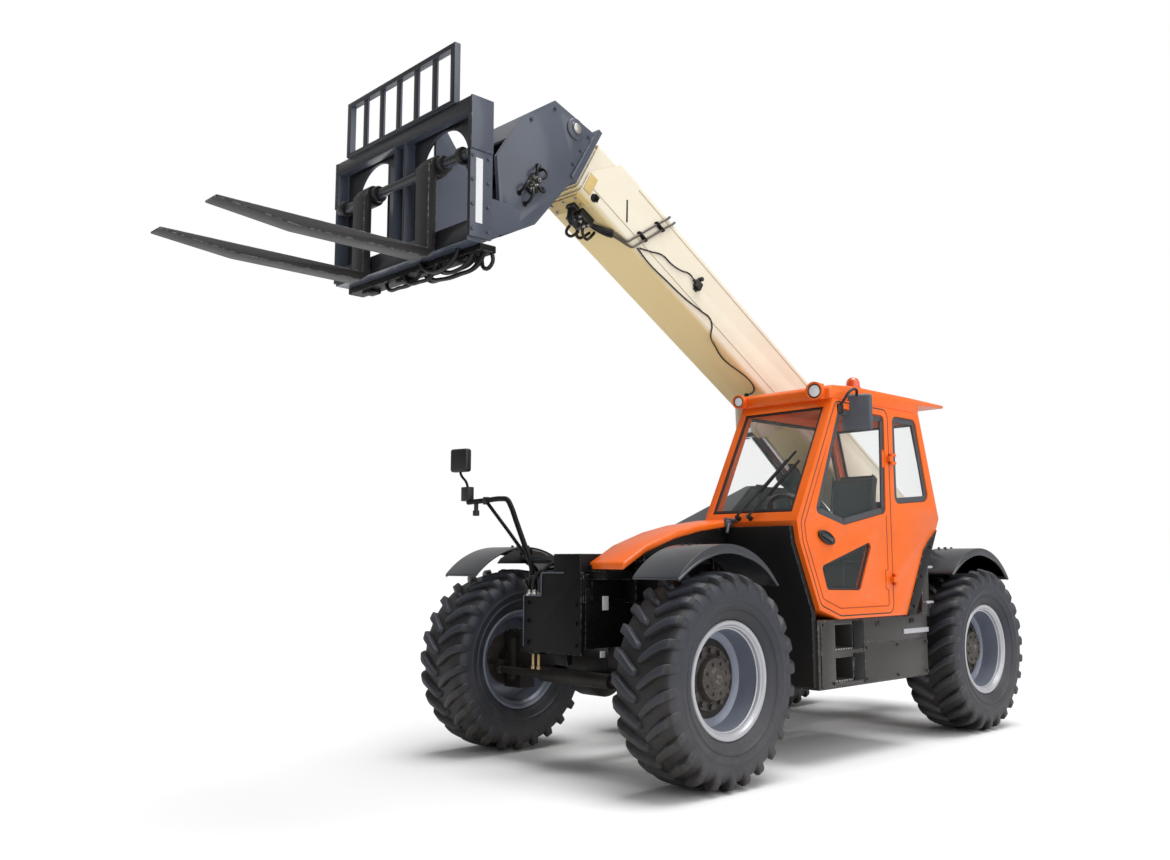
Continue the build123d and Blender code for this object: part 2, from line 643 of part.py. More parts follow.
with BuildPart() as steering_wheel:
    column_foot = (-1105, cab_middle, 1540)
    column_head = (-1255, cab_middle, 1675)
    bar(column_foot, column_head, 28)
    tilt = Vector(column_head[0] - column_foot[0], 0, column_head[2] - column_foot[2])
    rim_middle = (AXLE_X + column_head[0], cab_middle, column_head[2])
    rim_plane = Plane(origin=rim_middle, x_dir=(0, 1, 0), z_dir=tilt)
    with BuildSketch(rim_plane) as spokes:
        Rectangle(360, 30)
        Circle(60)
    extrude(spokes.sketch, amount=16)
    with BuildSketch(rim_plane) as ring:
        Circle(195)
        Circle(165, mode=Mode.SUBTRACT)
    extrude(ring.sketch, amount=28)
save(steering_wheel, "steering_wheel")

# ---------------------------------------------------------------- mirrors and lamps
with BuildPart() as mirror_arm:
    foot = (NOSE_X - 40, -266, FRAME_TOP + 12)
    knee = (NOSE_X, -262, 1380)
    elbow = (NOSE_X, -485, 1786)
    tip = (NOSE_X, -950, 1776)
    bend = (NOSE_X, -962, 1905)
    top = (NOSE_X, -1045, 2015)
    for start, end in ((foot, knee), (knee, elbow), (elbow, tip)):
        bar(start, end, 17)
    for joint in (knee, elbow, tip):
        with Locations((AXLE_X + joint[0], joint[1], joint[2])):
            Sphere(18)
    bar((NOSE_X, -735, 1780), (NOSE_X - 12, -264, 1348), 13)
    block((NOSE_X - 25, NOSE_X + 25), (-1000, -910), (1780, 1890))
    bar((NOSE_X, -962, 1885), bend, 10)
    bar(bend, top, 10)
    with Locations((AXLE_X + bend[0], bend[1], bend[2])):
        Sphere(11)
    block((NOSE_X - 60, NOSE_X - 20), (-frame_outer, -FRAME_INNER), (FRAME_TOP, FRAME_TOP + 14))
    block((NOSE_X - 30, NOSE_X + 25), (-1140, -940), (1995, 2180))
save(mirror_arm, "mirror_arm")

with BuildPart() as cab_mirror:
    block((-1560, -1480), (CAB_LEFT + 25, CAB_LEFT + 110), (CAB_TOP - 190, CAB_TOP + 50))
    bar((-1520, CAB_LEFT, CAB_TOP - 40), (-1520, CAB_LEFT + 30, CAB_TOP - 40), 14)
save(cab_mirror, "cab_mirror")

with BuildPart() as beacon:
    bar((-1700, 980, ROOF_TOP), (-1700, 980, ROOF_TOP + 18), 60)
    bar((-1700, 980, ROOF_TOP + 18), (-1700, 980, ROOF_TOP + 105), 48)
save(beacon, "beacon")

with BuildPart() as lamps:
    for y in (CAB_RIGHT + 40, CAB_LEFT - 130):
        bar((ROOF_FRONT, y, CAB_TOP + 42), (ROOF_FRONT + 45, y, CAB_TOP + 42), 40)
    for side in (1, -1):
        block((REAR_X - 200, REAR_X - 185), across(side, 500, 660), (980, 1100))
save(lamps, "lamps")

# ---------------------------------------------------------------- boom
def boom_section(station):
    """The plane across the boom at a station along it."""
    return Plane(origin=boom_foot + boom_run * station, x_dir=(0, 1, 0), z_dir=boom_run)


def boom_tube(start, end, nest):
    """Adds to the open part one hollow section of the telescope; nest counts from the outermost."""
    width = BASE_WIDTH - 2 * nest * NEST_STEP
    height = BASE_HEIGHT - 2 * nest * NEST_STEP
    with BuildSketch(boom_section(start)) as sketch:
        RectangleRounded(width, height, SECTION_RADIUS)
        RectangleRounded(width - 2 * WALL, height - 2 * WALL, SECTION_RADIUS - WALL, mode=Mode.SUBTRACT)
    extrude(sketch.sketch, amount=end - start)


def wear_pads(start, length, nest, inside):
    """Adds four pads between one section and the next: on the holder's inside or the runner's outside."""
    gap = NEST_STEP - WALL
    depth = gap - FIT
    half_width = BASE_WIDTH / 2 - nest * NEST_STEP - WALL
    half_height = BASE_HEIGHT / 2 - nest * NEST_STEP - WALL
    shift = -depth / 2 if inside else -gap + depth / 2
    with BuildSketch(boom_section(start)) as sketch:
        with Locations((half_width + shift, 0), (-half_width - shift, 0)):
            Rectangle(depth, half_height)
        with Locations((0, half_height + shift), (0, -half_height - shift)):
            Rectangle(half_width, depth)
    extrude(sketch.sketch, amount=length)


half_base = BASE_WIDTH / 2
with BuildPart() as boom_base:
    boom_tube(BASE_REAR, BASE_FRONT, 0)
    wear_pads(BASE_FRONT - 330, 140, 0, True)
    wear_pads(BASE_FRONT - 80, 80, 0, True)
    plate(
        (
            (BASE_FRONT - 203, 260), (BASE_FRONT - 203, 222), (BASE_FRONT + 3, -65), (BASE_FRONT + 80, -65),
            (BASE_FRONT + 80, 260),
        ),
        -300, 300, BOOM, mode=Mode.SUBTRACT,
    )
    for side in (1, -1):
        disc((0, 0), 2.4 * PIVOT_PIN, *across(side, half_base - WALL, FRAME_INNER - 5), BOOM)
        eye_s, eye_n = LIFT_EYE
        plate(
            (
                (eye_s - 260, -BASE_HEIGHT / 2 + 4), (eye_s - 75, eye_n - 50), (eye_s - 40, eye_n - 75),
                (eye_s + 40, eye_n - 75), (eye_s + 75, eye_n - 50), (eye_s + 220, -BASE_HEIGHT / 2 + 4),
            ),
            *across(side, 60, 85), BOOM,
        )
        disc(LIFT_EYE, 60, *across(side, 85, 105), BOOM)
    disc((0, 0), PIVOT_PIN + FIT, -FRAME_INNER, FRAME_INNER, BOOM, mode=Mode.SUBTRACT)
save(boom_base, "boom_base")

with BuildPart() as boom_mid:
    boom_tube(*MID_RANGE, 1)
    wear_pads(MID_RANGE[0], 160, 0, False)
    wear_pads(MID_RANGE[1] - 150, 150, 1, True)
save(boom_mid, "boom_mid")

with BuildPart() as boom_fly:
    boom_tube(*FLY_RANGE, 2)
    wear_pads(FLY_RANGE[0], 160, 1, False)
save(boom_fly, "boom_fly")

# Head: two side plates closed by strips along their edges, open below and in front
head_line = (
    (4814, 186), (5219, 109), (5362, -192), (5379, -580), (5080, -1000), (4916, -744), (4826, -255),
)


def edge_strip(start, end, thick):
    """Side-view outline of a closing strip just inside the head's edge from start to end."""
    run = (end[0] - start[0], end[1] - start[1])
    length = hypot(*run)
    inward = (run[1] / length * thick, -run[0] / length * thick)
    inner = [(point[0] + inward[0], point[1] + inward[1]) for point in (end, start)]
    return (start, end, *inner)


with BuildPart() as boom_head:
    with BuildSketch(boom_section(FLY_RANGE[1])) as flange:
        Rectangle(2 * HEAD_HALF, BASE_HEIGHT + 30)
    extrude(flange.sketch, amount=FLANGE)
    for side in (1, -1):
        plate(head_line, *across(side, HEAD_HALF - HEAD_PLATE, HEAD_HALF), BOOM)
        disc(TILT_FOOT, 68, *across(side, HEAD_HALF, HEAD_HALF + 14), BOOM)
    between = (-HEAD_HALF + HEAD_PLATE, HEAD_HALF - HEAD_PLATE)
    for first, thick in ((0, 16), (1, 16), (5, 16)):
        plate(edge_strip(head_line[first], head_line[first + 1], thick), *between, BOOM)
    front_top = head_line[2]
    plate(edge_strip(front_top, (5371, -400), 16), *between, BOOM)
    disc(TILT_FOOT, 26, *between, BOOM)
    disc(CARRIAGE_PIN, 40 + FIT, -HEAD_HALF, HEAD_HALF, BOOM, mode=Mode.SUBTRACT)
save(boom_head, "boom_head")


# ---------------------------------------------------------------- cylinders
def along(start, end, distance):
    """The side-view point at a distance from start towards end."""
    share = distance / hypot(end[0] - start[0], end[1] - start[1])
    return (start[0] + share * (end[0] - start[0]), start[1] + share * (end[1] - start[1]))


def in_plane(point):
    """A side-view point on the machine's middle plane."""
    return (point[0], 0, point[1])


cylinders = (  # name, foot, eye, barrel and rod radius, barrel end and rod's inner end, foot pin, eye size
    ("lift", LIFT_FOOT, off_boom(LIFT_EYE), 92, 55, 1850, 700, 40, 75, 50),
    ("tilt", off_boom(TILT_FOOT), TILT_EYE, 56, 32, 780, 330, 26, 45, 45),
)
for name, foot, eye, *radii_and_ends in cylinders:
    barrel_radius, rod_radius, barrel_end, rod_start, foot_pin, eye_radius, eye_half = radii_and_ends
    with BuildPart() as barrel:
        bar(in_plane(along(foot, eye, eye_radius - 8)), in_plane(along(foot, eye, barrel_end)), barrel_radius)
        bar(
            in_plane(along(foot, eye, eye_radius + 30)), in_plane(along(foot, eye, barrel_end - 60)),
            rod_radius + 8, mode=Mode.SUBTRACT,
        )
        bar(
            in_plane(along(foot, eye, barrel_end - 61)), in_plane(along(foot, eye, barrel_end + 1)),
            rod_radius + FIT, mode=Mode.SUBTRACT,
        )
        disc(foot, eye_radius, -eye_half, eye_half)
        disc(foot, foot_pin + FIT, -eye_half - 1, eye_half + 1, mode=Mode.SUBTRACT)
    save(barrel, f"{name}_barrel")
    length = hypot(eye[0] - foot[0], eye[1] - foot[1])
    with BuildPart() as rod:
        bar(in_plane(along(foot, eye, rod_start)), in_plane(along(foot, eye, length - 10)), rod_radius)
        piston_end = in_plane(along(foot, eye, rod_start + 50))
        bar(in_plane(along(foot, eye, rod_start)), piston_end, rod_radius + 8 - FIT)
        disc(eye, eye_radius, -eye_half, eye_half)
    save(rod, f"{name}_rod")

# ---------------------------------------------------------------- carriage, backrest and forks
pin_x, pin_z = off_boom(CARRIAGE_PIN)
inner_half = CARRIAGE_HALF - 25
window_plate = (CARRIAGE_FACE - 100, CARRIAGE_FACE - 80)
with BuildPart() as carriage:
    for side in (1, -1):
        end_plate = across(side, inner_half, CARRIAGE_HALF)
        block((1505, CARRIAGE_FACE), end_plate, (CARRIAGE_LOW + 20, CARRIAGE_TOP))
        lug = across(side, HEAD_HALF + 6, HEAD_HALF + 31)
        plate(
            (
                (pin_x - 55, pin_z - 60), (pin_x, pin_z - 82), (window_plate[0] + 5, CARRIAGE_LOW + 30),
                (window_plate[0] + 5, CARRIAGE_TOP - 20), (window_plate[0] - 70, CARRIAGE_TOP - 20),
                (pin_x + 260, pin_z + 90), (pin_x, pin_z + 82), (pin_x - 55, pin_z + 60),
            ),
            *lug,
        )
        tilt_lug = across(side, 51, 71)
        eye_x, eye_z = TILT_EYE
        plate(
            (
                (eye_x - 50, eye_z - 40),
                (window_plate[0] + 5, eye_z - 160), (window_plate[0] + 5, eye_z + 60),
                (eye_x, eye_z + 55), (eye_x - 50, eye_z + 30),
            ),
            *tilt_lug,
        )
        disc(TILT_EYE, 40, *across(side, 71, 84))
        disc((pin_x, pin_z), 40, *across(side, 120, HEAD_HALF + 6))
    middle = (-inner_half, inner_half)
    block((CARRIAGE_FACE - 60, CARRIAGE_FACE), middle, (CARRIAGE_TOP - 80, CARRIAGE_TOP))
    block((CARRIAGE_FACE - 80, CARRIAGE_FACE - 2), middle, (CARRIAGE_LOW, CARRIAGE_LOW + 110))
    disc(FORK_SHAFT, FORK_SHAFT_RADIUS, *middle)
    back_plane = Plane(origin=(AXLE_X + window_plate[0], 0, 0), x_dir=(0, 1, 0), z_dir=(1, 0, 0))
    with BuildSketch(back_plane) as back:
        with Locations((0, (CARRIAGE_LOW + CARRIAGE_TOP) / 2)):
            Rectangle(2 * inner_half, CARRIAGE_TOP - CARRIAGE_LOW)
        for side in (1, -1):
            with Locations((side * 355, 3420)):
                Rectangle(480, 360, mode=Mode.SUBTRACT)
            with Locations((side * 355, 3600)):
                Circle(240, mode=Mode.SUBTRACT)
    extrude(back.sketch, amount=window_plate[1] - window_plate[0])
    for side in (1, -1):
        rib = (window_plate[1] - 1, CARRIAGE_FACE - 10)
        block(rib, across(side, 40, 60), (CARRIAGE_LOW + 50, CARRIAGE_TOP - 40))
save(carriage, "carriage")

backrest_top = CARRIAGE_TOP + BACKREST_HEIGHT
with BuildPart() as backrest:
    rest_x = (CARRIAGE_FACE - 25, CARRIAGE_FACE + 15)
    rail = (-BACKREST_HALF - 20, BACKREST_HALF + 20)
    block(rest_x, rail, (backrest_top - 30, backrest_top))
    for side in (1, -1):
        block(rest_x, across(side, BACKREST_HALF - 20, BACKREST_HALF + 20), (CARRIAGE_TOP, backrest_top))
    block(rest_x, rail, (CARRIAGE_TOP, CARRIAGE_TOP + 20))
    for step in range(5):
        y = (step - 2) * BACKREST_HALF / 3
        block((CARRIAGE_FACE - 5, CARRIAGE_FACE + 7), (y - 24, y + 24), (CARRIAGE_TOP, backrest_top - 10))
save(backrest, "backrest")

heel_x = CARRIAGE_FACE + 4
heel_z = CARRIAGE_LOW - 50
for name, side in sides:
    with BuildPart() as fork:
        stations = across(side, FORK_Y - FORK_WIDTH / 2, FORK_Y + FORK_WIDTH / 2)
        plate(
            (
                (heel_x, FORK_SHAFT[1]), (heel_x + FORK_THICK, FORK_SHAFT[1]),
                (heel_x + FORK_THICK, heel_z + FORK_THICK), (FORK_TIP[0], FORK_TIP[1]),
                (FORK_TIP[0], FORK_TIP[1] - 12), (2500, 3052), (heel_x + 60, heel_z), (heel_x, heel_z + 50),
            ),
            *stations,
        )
        disc(FORK_SHAFT, FORK_SHAFT_RADIUS + 34, *stations)
        disc(FORK_SHAFT, FORK_SHAFT_RADIUS + FIT, *stations, mode=Mode.SUBTRACT)
    save(fork, f"fork_{name}")
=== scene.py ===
# %% [markdown]
# # Dressing a telescopic handler
# The exact model arrives as a fixed frame: every solid has its true size and place. This lesson gives
# it the surfaces, rounded edges, treads, hoses, seals and fasteners of a working machine. Lengths are
# in metres. +X is forwards, +Y is the machine's left, +Z is up.

# %% Load the frame
import json
from math import cos, pi, radians, sin

import bmesh
import bpy
from mathutils import Matrix, Vector

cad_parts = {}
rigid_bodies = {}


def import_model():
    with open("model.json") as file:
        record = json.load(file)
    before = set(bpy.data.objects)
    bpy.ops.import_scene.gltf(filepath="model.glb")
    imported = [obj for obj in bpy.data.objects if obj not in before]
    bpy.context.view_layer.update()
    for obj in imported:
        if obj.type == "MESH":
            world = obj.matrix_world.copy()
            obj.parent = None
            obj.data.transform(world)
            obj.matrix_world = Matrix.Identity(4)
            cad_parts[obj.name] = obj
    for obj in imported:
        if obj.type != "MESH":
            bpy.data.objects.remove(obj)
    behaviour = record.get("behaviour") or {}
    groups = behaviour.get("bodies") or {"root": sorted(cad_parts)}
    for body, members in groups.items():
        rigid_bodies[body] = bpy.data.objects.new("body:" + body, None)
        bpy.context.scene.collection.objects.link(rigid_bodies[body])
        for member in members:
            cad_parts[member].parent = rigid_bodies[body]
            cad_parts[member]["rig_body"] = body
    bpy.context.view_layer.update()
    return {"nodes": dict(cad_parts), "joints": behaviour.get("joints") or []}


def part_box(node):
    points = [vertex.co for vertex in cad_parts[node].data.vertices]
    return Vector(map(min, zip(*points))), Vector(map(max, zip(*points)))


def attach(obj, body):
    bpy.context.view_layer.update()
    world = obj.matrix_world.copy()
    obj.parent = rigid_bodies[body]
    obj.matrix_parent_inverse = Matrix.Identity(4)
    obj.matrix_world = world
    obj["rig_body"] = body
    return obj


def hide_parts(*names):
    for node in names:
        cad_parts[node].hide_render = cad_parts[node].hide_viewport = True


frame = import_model()
nodes = frame["nodes"]
joints = {joint["name"]: joint for joint in frame["joints"]}

# %% [markdown]
# ## Where things are
# Most places are easiest to read in a side view counted from the front axle, or along the boom from its
# pivot. Both are kept as a matrix, so that a shape is drawn in plain local numbers and placed at the
# end.

# %% Local places
rim_low, rim_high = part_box("rim_front_left")
AXLE_X = (rim_low.x + rim_high.x) / 2
WHEEL_Z = (rim_low.z + rim_high.z) / 2
REAR_X = sum(corner.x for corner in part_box("rim_rear_left")) / 2 - AXLE_X
FLAT = Matrix.Identity(4)
SIDE = Matrix.Translation((AXLE_X, 0, 0))
boom_run = Vector(joints["boom_extend"]["axis"])
boom_up = Vector((-boom_run.z, 0, boom_run.x))
boom_pivot = Vector(joints["boom_lift"]["pos_m"])
BOOM = Matrix.Translation(boom_pivot) @ Matrix((boom_run, (0, 1, 0), boom_up)).transposed().to_4x4()
print("front axle at", round(AXLE_X, 3), "boom pivot at", tuple(round(v, 3) for v in boom_pivot))

# %% [markdown]
# ## Shader helpers
# A material is a small graph. These two helpers add a node with its settings and sockets in one call,
# and open a node group with named sockets, so that each material below reads like a recipe.

# %% Shader helpers


def add(tree, kind, settings=(), **sockets):
    """Adds a node; a socket given another node's output is linked, and any other value is set."""
    made = tree.nodes.new(kind)
    for key, value in dict(settings).items():
        setattr(made, key, value)
    for key, value in sockets.items():
        socket = made.inputs[int(key[1:])] if key[0] == "_" else made.inputs[key.replace("_", " ")]
        if isinstance(value, bpy.types.NodeSocket):
            tree.links.new(value, socket)
        else:
            socket.default_value = value
    return made


def maths(tree, operation, first, second=0.0, clamp=False):
    """Adds a Math node and returns its result."""
    return add(
        tree, "ShaderNodeMath", {"operation": operation, "use_clamp": clamp}, _0=first, _1=second,
    ).outputs[0]


def ramp(tree, value, low, high, out_low=0.0, out_high=1.0):
    """Maps a value from one range onto another, held at the ends."""
    return add(
        tree, "ShaderNodeMapRange", _0=value, _1=low, _2=high, _3=out_low, _4=out_high
    ).outputs[0]


def mix_colour(tree, share, first, second):
    """Mixes two colours and returns the result."""
    made = add(tree, "ShaderNodeMix", {"data_type": "RGBA"}, _0=share, _6=first, _7=second)
    return made.outputs[2]


def noise(tree, scale, detail=3.0, roughness=0.5):
    """A noise value on object coordinates."""
    place = add(tree, "ShaderNodeTexCoord").outputs["Object"]
    return add(
        tree, "ShaderNodeTexNoise", Vector=place, Scale=scale, Detail=detail, Roughness=roughness
    ).outputs["Fac"]


def open_group(name, inputs, outputs, kind="ShaderNodeTree"):
    """A node group with named sockets; returns the tree, its input node and its output node."""
    tree = bpy.data.node_groups.new(name, kind)
    for label, socket_type, value in inputs:
        socket = tree.interface.new_socket(label, in_out="INPUT", socket_type=socket_type)
        if value is not None:
            socket.default_value = value
    for label, socket_type in outputs:
        tree.interface.new_socket(label, in_out="OUTPUT", socket_type=socket_type)
    return tree, tree.nodes.new("NodeGroupInput"), tree.nodes.new("NodeGroupOutput")


# %% [markdown]
# ## Shared surface effects
# Paint on a big machine is never one flat value. A large soft mottle shifts its tone, dust gathers low
# down and on what faces up, and rounded edges, which carry an attribute named edge, lose a little
# paint. All of it is one group with named amounts, so every finish uses it in its own strength.

# %% Group: weathering
FLOAT = "NodeSocketFloat"
weathering, given, result = open_group(
    "weathering",
    [
        ("Dust Height", FLOAT, 1.0),
        ("Dust Amount", FLOAT, 0.3),
        ("Wear Amount", FLOAT, 0.3),
        ("Grain Scale", FLOAT, 400.0),
    ],
    [("Mottle", FLOAT), ("Dust", FLOAT), ("Wear", FLOAT), ("Grain", FLOAT)],
)
where = add(weathering, "ShaderNodeTexCoord")
height = add(weathering, "ShaderNodeSeparateXYZ", Vector=where.outputs["Object"]).outputs["Z"]
facing = add(weathering, "ShaderNodeSeparateXYZ", Vector=where.outputs["Normal"]).outputs["Z"]
patches = noise(weathering, 3.1, 6.0, 0.62)
specks = noise(weathering, 34.0, 4.0, 0.6)
low_down = add(
    weathering, "ShaderNodeMapRange", _0=height, _1=given.outputs["Dust Height"], _2=0.15,
).outputs[0]
on_top = ramp(weathering, facing, 0.3, 1.0, 0.0, 0.45)
settled = maths(weathering, "MAXIMUM", low_down, on_top)
broken = ramp(
    weathering, maths(weathering, "MULTIPLY", patches, maths(weathering, "ADD", specks, 0.5)), 0.25, 0.75,
)
dust = maths(
    weathering, "MULTIPLY", maths(weathering, "MULTIPLY", settled, broken), given.outputs["Dust Amount"],
)
edges = add(weathering, "ShaderNodeAttribute", {"attribute_name": "edge"}).outputs["Fac"]
chips = ramp(weathering, specks, 0.48, 0.62)
wear = maths(
    weathering, "MULTIPLY", maths(weathering, "MULTIPLY", edges, chips), given.outputs["Wear Amount"],
)
grain = add(
    weathering, "ShaderNodeTexNoise", Vector=where.outputs["Object"], Scale=given.outputs["Grain Scale"],
    Detail=2.0
).outputs["Fac"]
for label, value in (("Mottle", patches), ("Dust", dust), ("Wear", wear), ("Grain", grain)):
    weathering.links.new(value, result.inputs[label])
print("group weathering:", len(weathering.nodes), "nodes")

# %% [markdown]
# ## The finishes
# `finish` makes one Principled material from a base colour and the shared effects. A second tone on
# undersides, on faces that look forwards and in tyre grooves is mostly painted light and shade: bounce
# light and shade below, with some road dirt on the tyres, and shade ahead and in the grooves. Bump height
# is in metres, so grain stays at its true scale.

# %% Finishes
DUST_COLOUR = (0.23, 0.19, 0.14, 1)
BARE_STEEL = (0.42, 0.42, 0.43, 1)


def tint(colour, factor):
    """A colour made lighter or darker."""
    return tuple(min(1.0, c * factor) for c in colour[:3]) + (1,)


def finish(
    name, colour, rough, metal=0.0, coat=0.0, dust=0.2, dust_top=1.0, wear=0.0, grain=400.0, bump=0.00004,
    mottle=0.08, under=None, ahead=None, groove_shade=None, shine=0.5,
):
    """A finish with mottle, dust, worn edges and grain; the under, ahead and groove tones paint shade and
    bounce light, and on tyres some road dirt, onto other faces.
    """
    made = bpy.data.materials.new(name)
    made.use_nodes = True
    tree = made.node_tree
    shader = tree.nodes["Principled BSDF"]
    effects = add(
        tree, "ShaderNodeGroup", {"node_tree": weathering},
        Dust_Height=dust_top, Dust_Amount=dust, Wear_Amount=wear, Grain_Scale=grain,
    )
    mottled = ramp(tree, effects.outputs["Mottle"], 0.3, 0.7)
    base = mix_colour(tree, mottled, tint(colour, 1 - mottle), tint(colour, 1 + mottle))
    # The under and ahead tones recolour undersides and forward faces: painted shade and bounce light.
    for tone, axis, starts, full in ((under, "Z", -0.25, -0.8), (ahead, "X", 0.4, 0.8)):
        if tone:
            turned = add(tree, "ShaderNodeTexCoord").outputs["Normal"]
            looks = add(tree, "ShaderNodeSeparateXYZ", Vector=turned).outputs[axis]
            base = mix_colour(tree, ramp(tree, looks, starts, full), base, (*tone, 1))
    # The groove tone darkens faces marked as lying in the grooves: painted shade.
    if groove_shade:
        groove_shading = add(tree, "ShaderNodeAttribute", {"attribute_name": "groove_shade"}).outputs["Fac"]
        base = mix_colour(tree, groove_shading, base, (*groove_shade, 1))
    base = mix_colour(tree, effects.outputs["Dust"], base, DUST_COLOUR)
    base = mix_colour(tree, effects.outputs["Wear"], base, BARE_STEEL)
    tree.links.new(base, shader.inputs["Base Color"])
    dulled = maths(tree, "MULTIPLY", effects.outputs["Dust"], 0.5)
    varied = maths(tree, "MULTIPLY", maths(tree, "SUBTRACT", mottled, 0.5), 0.12)
    rough_now = maths(tree, "ADD", maths(tree, "ADD", dulled, varied), rough, clamp=True)
    tree.links.new(rough_now, shader.inputs["Roughness"])
    relief = add(tree, "ShaderNodeBump", Height=effects.outputs["Grain"], Distance=bump)
    tree.links.new(relief.outputs["Normal"], shader.inputs["Normal"])
    plain = {"Metallic": metal, "Coat Weight": coat, "Coat Roughness": 0.12, "Specular IOR Level": shine}
    for label, value in plain.items():
        shader.inputs[label].default_value = value
    return made


orange = finish(
    "gloss_orange_paint", (0.86, 0.14, 0.009), 0.36, coat=0.15, dust=0.08, dust_top=1.2, wear=0.1, shine=0.3
)
# The under tone, warmer and more golden than the base, is painted bounce light and shade on the boom's
# undersides.
ivory = finish(
    "gloss_ivory_paint", (0.76, 0.695, 0.56), 0.4, coat=0.12, dust=0.03, wear=0.05, mottle=0.03,
    under=(0.92, 0.74, 0.37), shine=0.3,
)
SLATE = (0.06, 0.071, 0.1)
slate = finish("satin_slate_paint", SLATE, 0.33, coat=0.2, dust=0.04, wear=0.25, mottle=0.12)
# This copy of the slate paint turns near black on faces that look forwards: painted shade.
shaded_carriage_slate = finish(
    "carriage_slate_front_shaded", SLATE, 0.33, coat=0.2, dust=0.04, wear=0.25, mottle=0.12,
    ahead=(0.01, 0.011, 0.015)
)
charcoal = finish(
    "worn_charcoal_paint", (0.022, 0.02, 0.02), 0.4, dust=0.1, wear=0.35, mottle=0.2, shine=0.35,
)
black_paint = finish(
    "frame_black_paint", (0.0045, 0.0045, 0.005), 0.45, dust=0.05, dust_top=0.9, wear=0.2, mottle=0.25,
    shine=0.15
)
box_paint = finish(
    "brown_grey_paint", (0.026, 0.023, 0.022), 0.38, coat=0.15, dust=0.14, dust_top=0.9, wear=0.25,
    shine=0.4
)
guard_paint = finish(
    "guard_black_steel", (0.013, 0.012, 0.012), 0.5, dust=0.06, dust_top=0.9, wear=0.2, shine=0.2,
)
plastic = finish(
    "grained_grey_plastic", (0.022, 0.025, 0.032), 0.32, coat=0.25, dust=0.12, dust_top=1.2, grain=900,
    bump=0.0002
)
# A lighter grey copy of the dark plastic, for the door mirror and cowl latch, stands for the light that
# falls on them: painted light.
lit_mirror_grey = finish("lit_blue_grey_plastic", (0.075, 0.082, 0.1), 0.42, dust=0.05, grain=900, bump=0.0002)
black_plastic = finish(
    "black_moulded_plastic", (0.01, 0.01, 0.011), 0.45, dust=0.05, grain=900, bump=0.0002,
)
window_rubber = finish("grey_window_rubber", (0.05, 0.054, 0.063), 0.45, dust=0.05, grain=700, bump=0.0001)
# The under tone darkens and browns the tyres' undersides, partly road dirt and partly painted shade; the
# groove tone darkens the faces between the bars, a painted shade.
rubber = finish(
    "tyre_rubber", (0.024, 0.027, 0.038), 0.5, dust=0.2, dust_top=0.9, grain=260, bump=0.0005, mottle=0.25,
    shine=0.45,
    under=(0.016, 0.0145, 0.013), groove_shade=(0.01, 0.0105, 0.013),
)
seal_rubber = finish("seal_rubber", (0.012, 0.012, 0.014), 0.5, dust=0.05, grain=500, bump=0.0001)
hose_rubber = finish(
    "hose_rubber", (0.007, 0.007, 0.008), 0.4, dust=0.05, grain=600, bump=0.0001, shine=0.35,
)
silver = finish(
    "rim_silver_paint", (0.45, 0.46, 0.49), 0.32, metal=0.3, coat=0.2, dust=0.2, dust_top=0.9, wear=0.3
)
# A darker blue-grey copy of the rim silver for the barrel and disc deep in the dish: painted shade.
barrel_shaded_silver = finish(
    "rim_barrel_shaded_silver", (0.21, 0.235, 0.3), 0.36, metal=0.3, coat=0.1, dust=0.3, dust_top=0.9, wear=0.2
)
hub_brown = finish(
    "hub_brown_casting", (0.026, 0.021, 0.018), 0.45, dust=0.3, dust_top=1.3, wear=0.3, grain=160,
    bump=0.0006
)
casting = finish(
    "black_casting", (0.011, 0.01, 0.01), 0.5, dust=0.2, wear=0.25, grain=160, bump=0.0006, shine=0.3
)
chrome = finish("hard_chrome", (0.6, 0.6, 0.62), 0.12, metal=1.0, dust=0.02, mottle=0.02, bump=0.00001)
zinc = finish("zinc_plating", (0.42, 0.41, 0.38), 0.32, metal=0.9, dust=0.1, mottle=0.12)
pipe_paint = finish("pipe_brown_steel", (0.12, 0.1, 0.085), 0.35, metal=0.6, dust=0.1, mottle=0.15)
brass = finish("waxed_brass_steel", (0.42, 0.31, 0.16), 0.3, metal=0.9, dust=0.1, mottle=0.15)
# An ochre that stands for the boom's ivory in the head's shade: painted shade.
ochre_shade_paint = finish("pad_holder_shaded_ivory", (0.6, 0.44, 0.17), 0.42, dust=0.1, wear=0.2, mottle=0.15)
orange_shadow = finish("orange_fold_shadow", (0.36, 0.045, 0.004), 0.5, dust=0.05, mottle=0.05)
ivory_shadow_line = finish("ivory_fold_shadow", (0.42, 0.37, 0.26), 0.5, dust=0.05, mottle=0.05)
white_lens = finish("white_reflector", (0.8, 0.81, 0.84), 0.2, coat=0.6, dust=0.0, grain=220, bump=0.0002)
blank_label = finish("blank_white_label", (0.72, 0.73, 0.74), 0.45, dust=0.05, mottle=0.04)
red_lens = finish("red_lens", (0.42, 0.008, 0.006), 0.15, coat=0.8, dust=0.05, grain=150, bump=0.0006)
amber_lens = finish("amber_lens", (0.75, 0.09, 0.006), 0.18, coat=0.7, dust=0.0, grain=60, bump=0.0004)
seat_cloth = finish("seat_vinyl", (0.03, 0.031, 0.036), 0.6, dust=0.05, grain=1200, bump=0.0003)
print("finishes:", len(bpy.data.materials))

# %% [markdown]
# ## Glass
# A thin safety pane bends no light, so it needs no refraction: it lets most light straight through and
# mirrors more at a grazing look. Its Alpha rises as the pane turns away, which keeps the highlights
# that tell the eye it is there and lets daylight into the cab.

# %% Glass


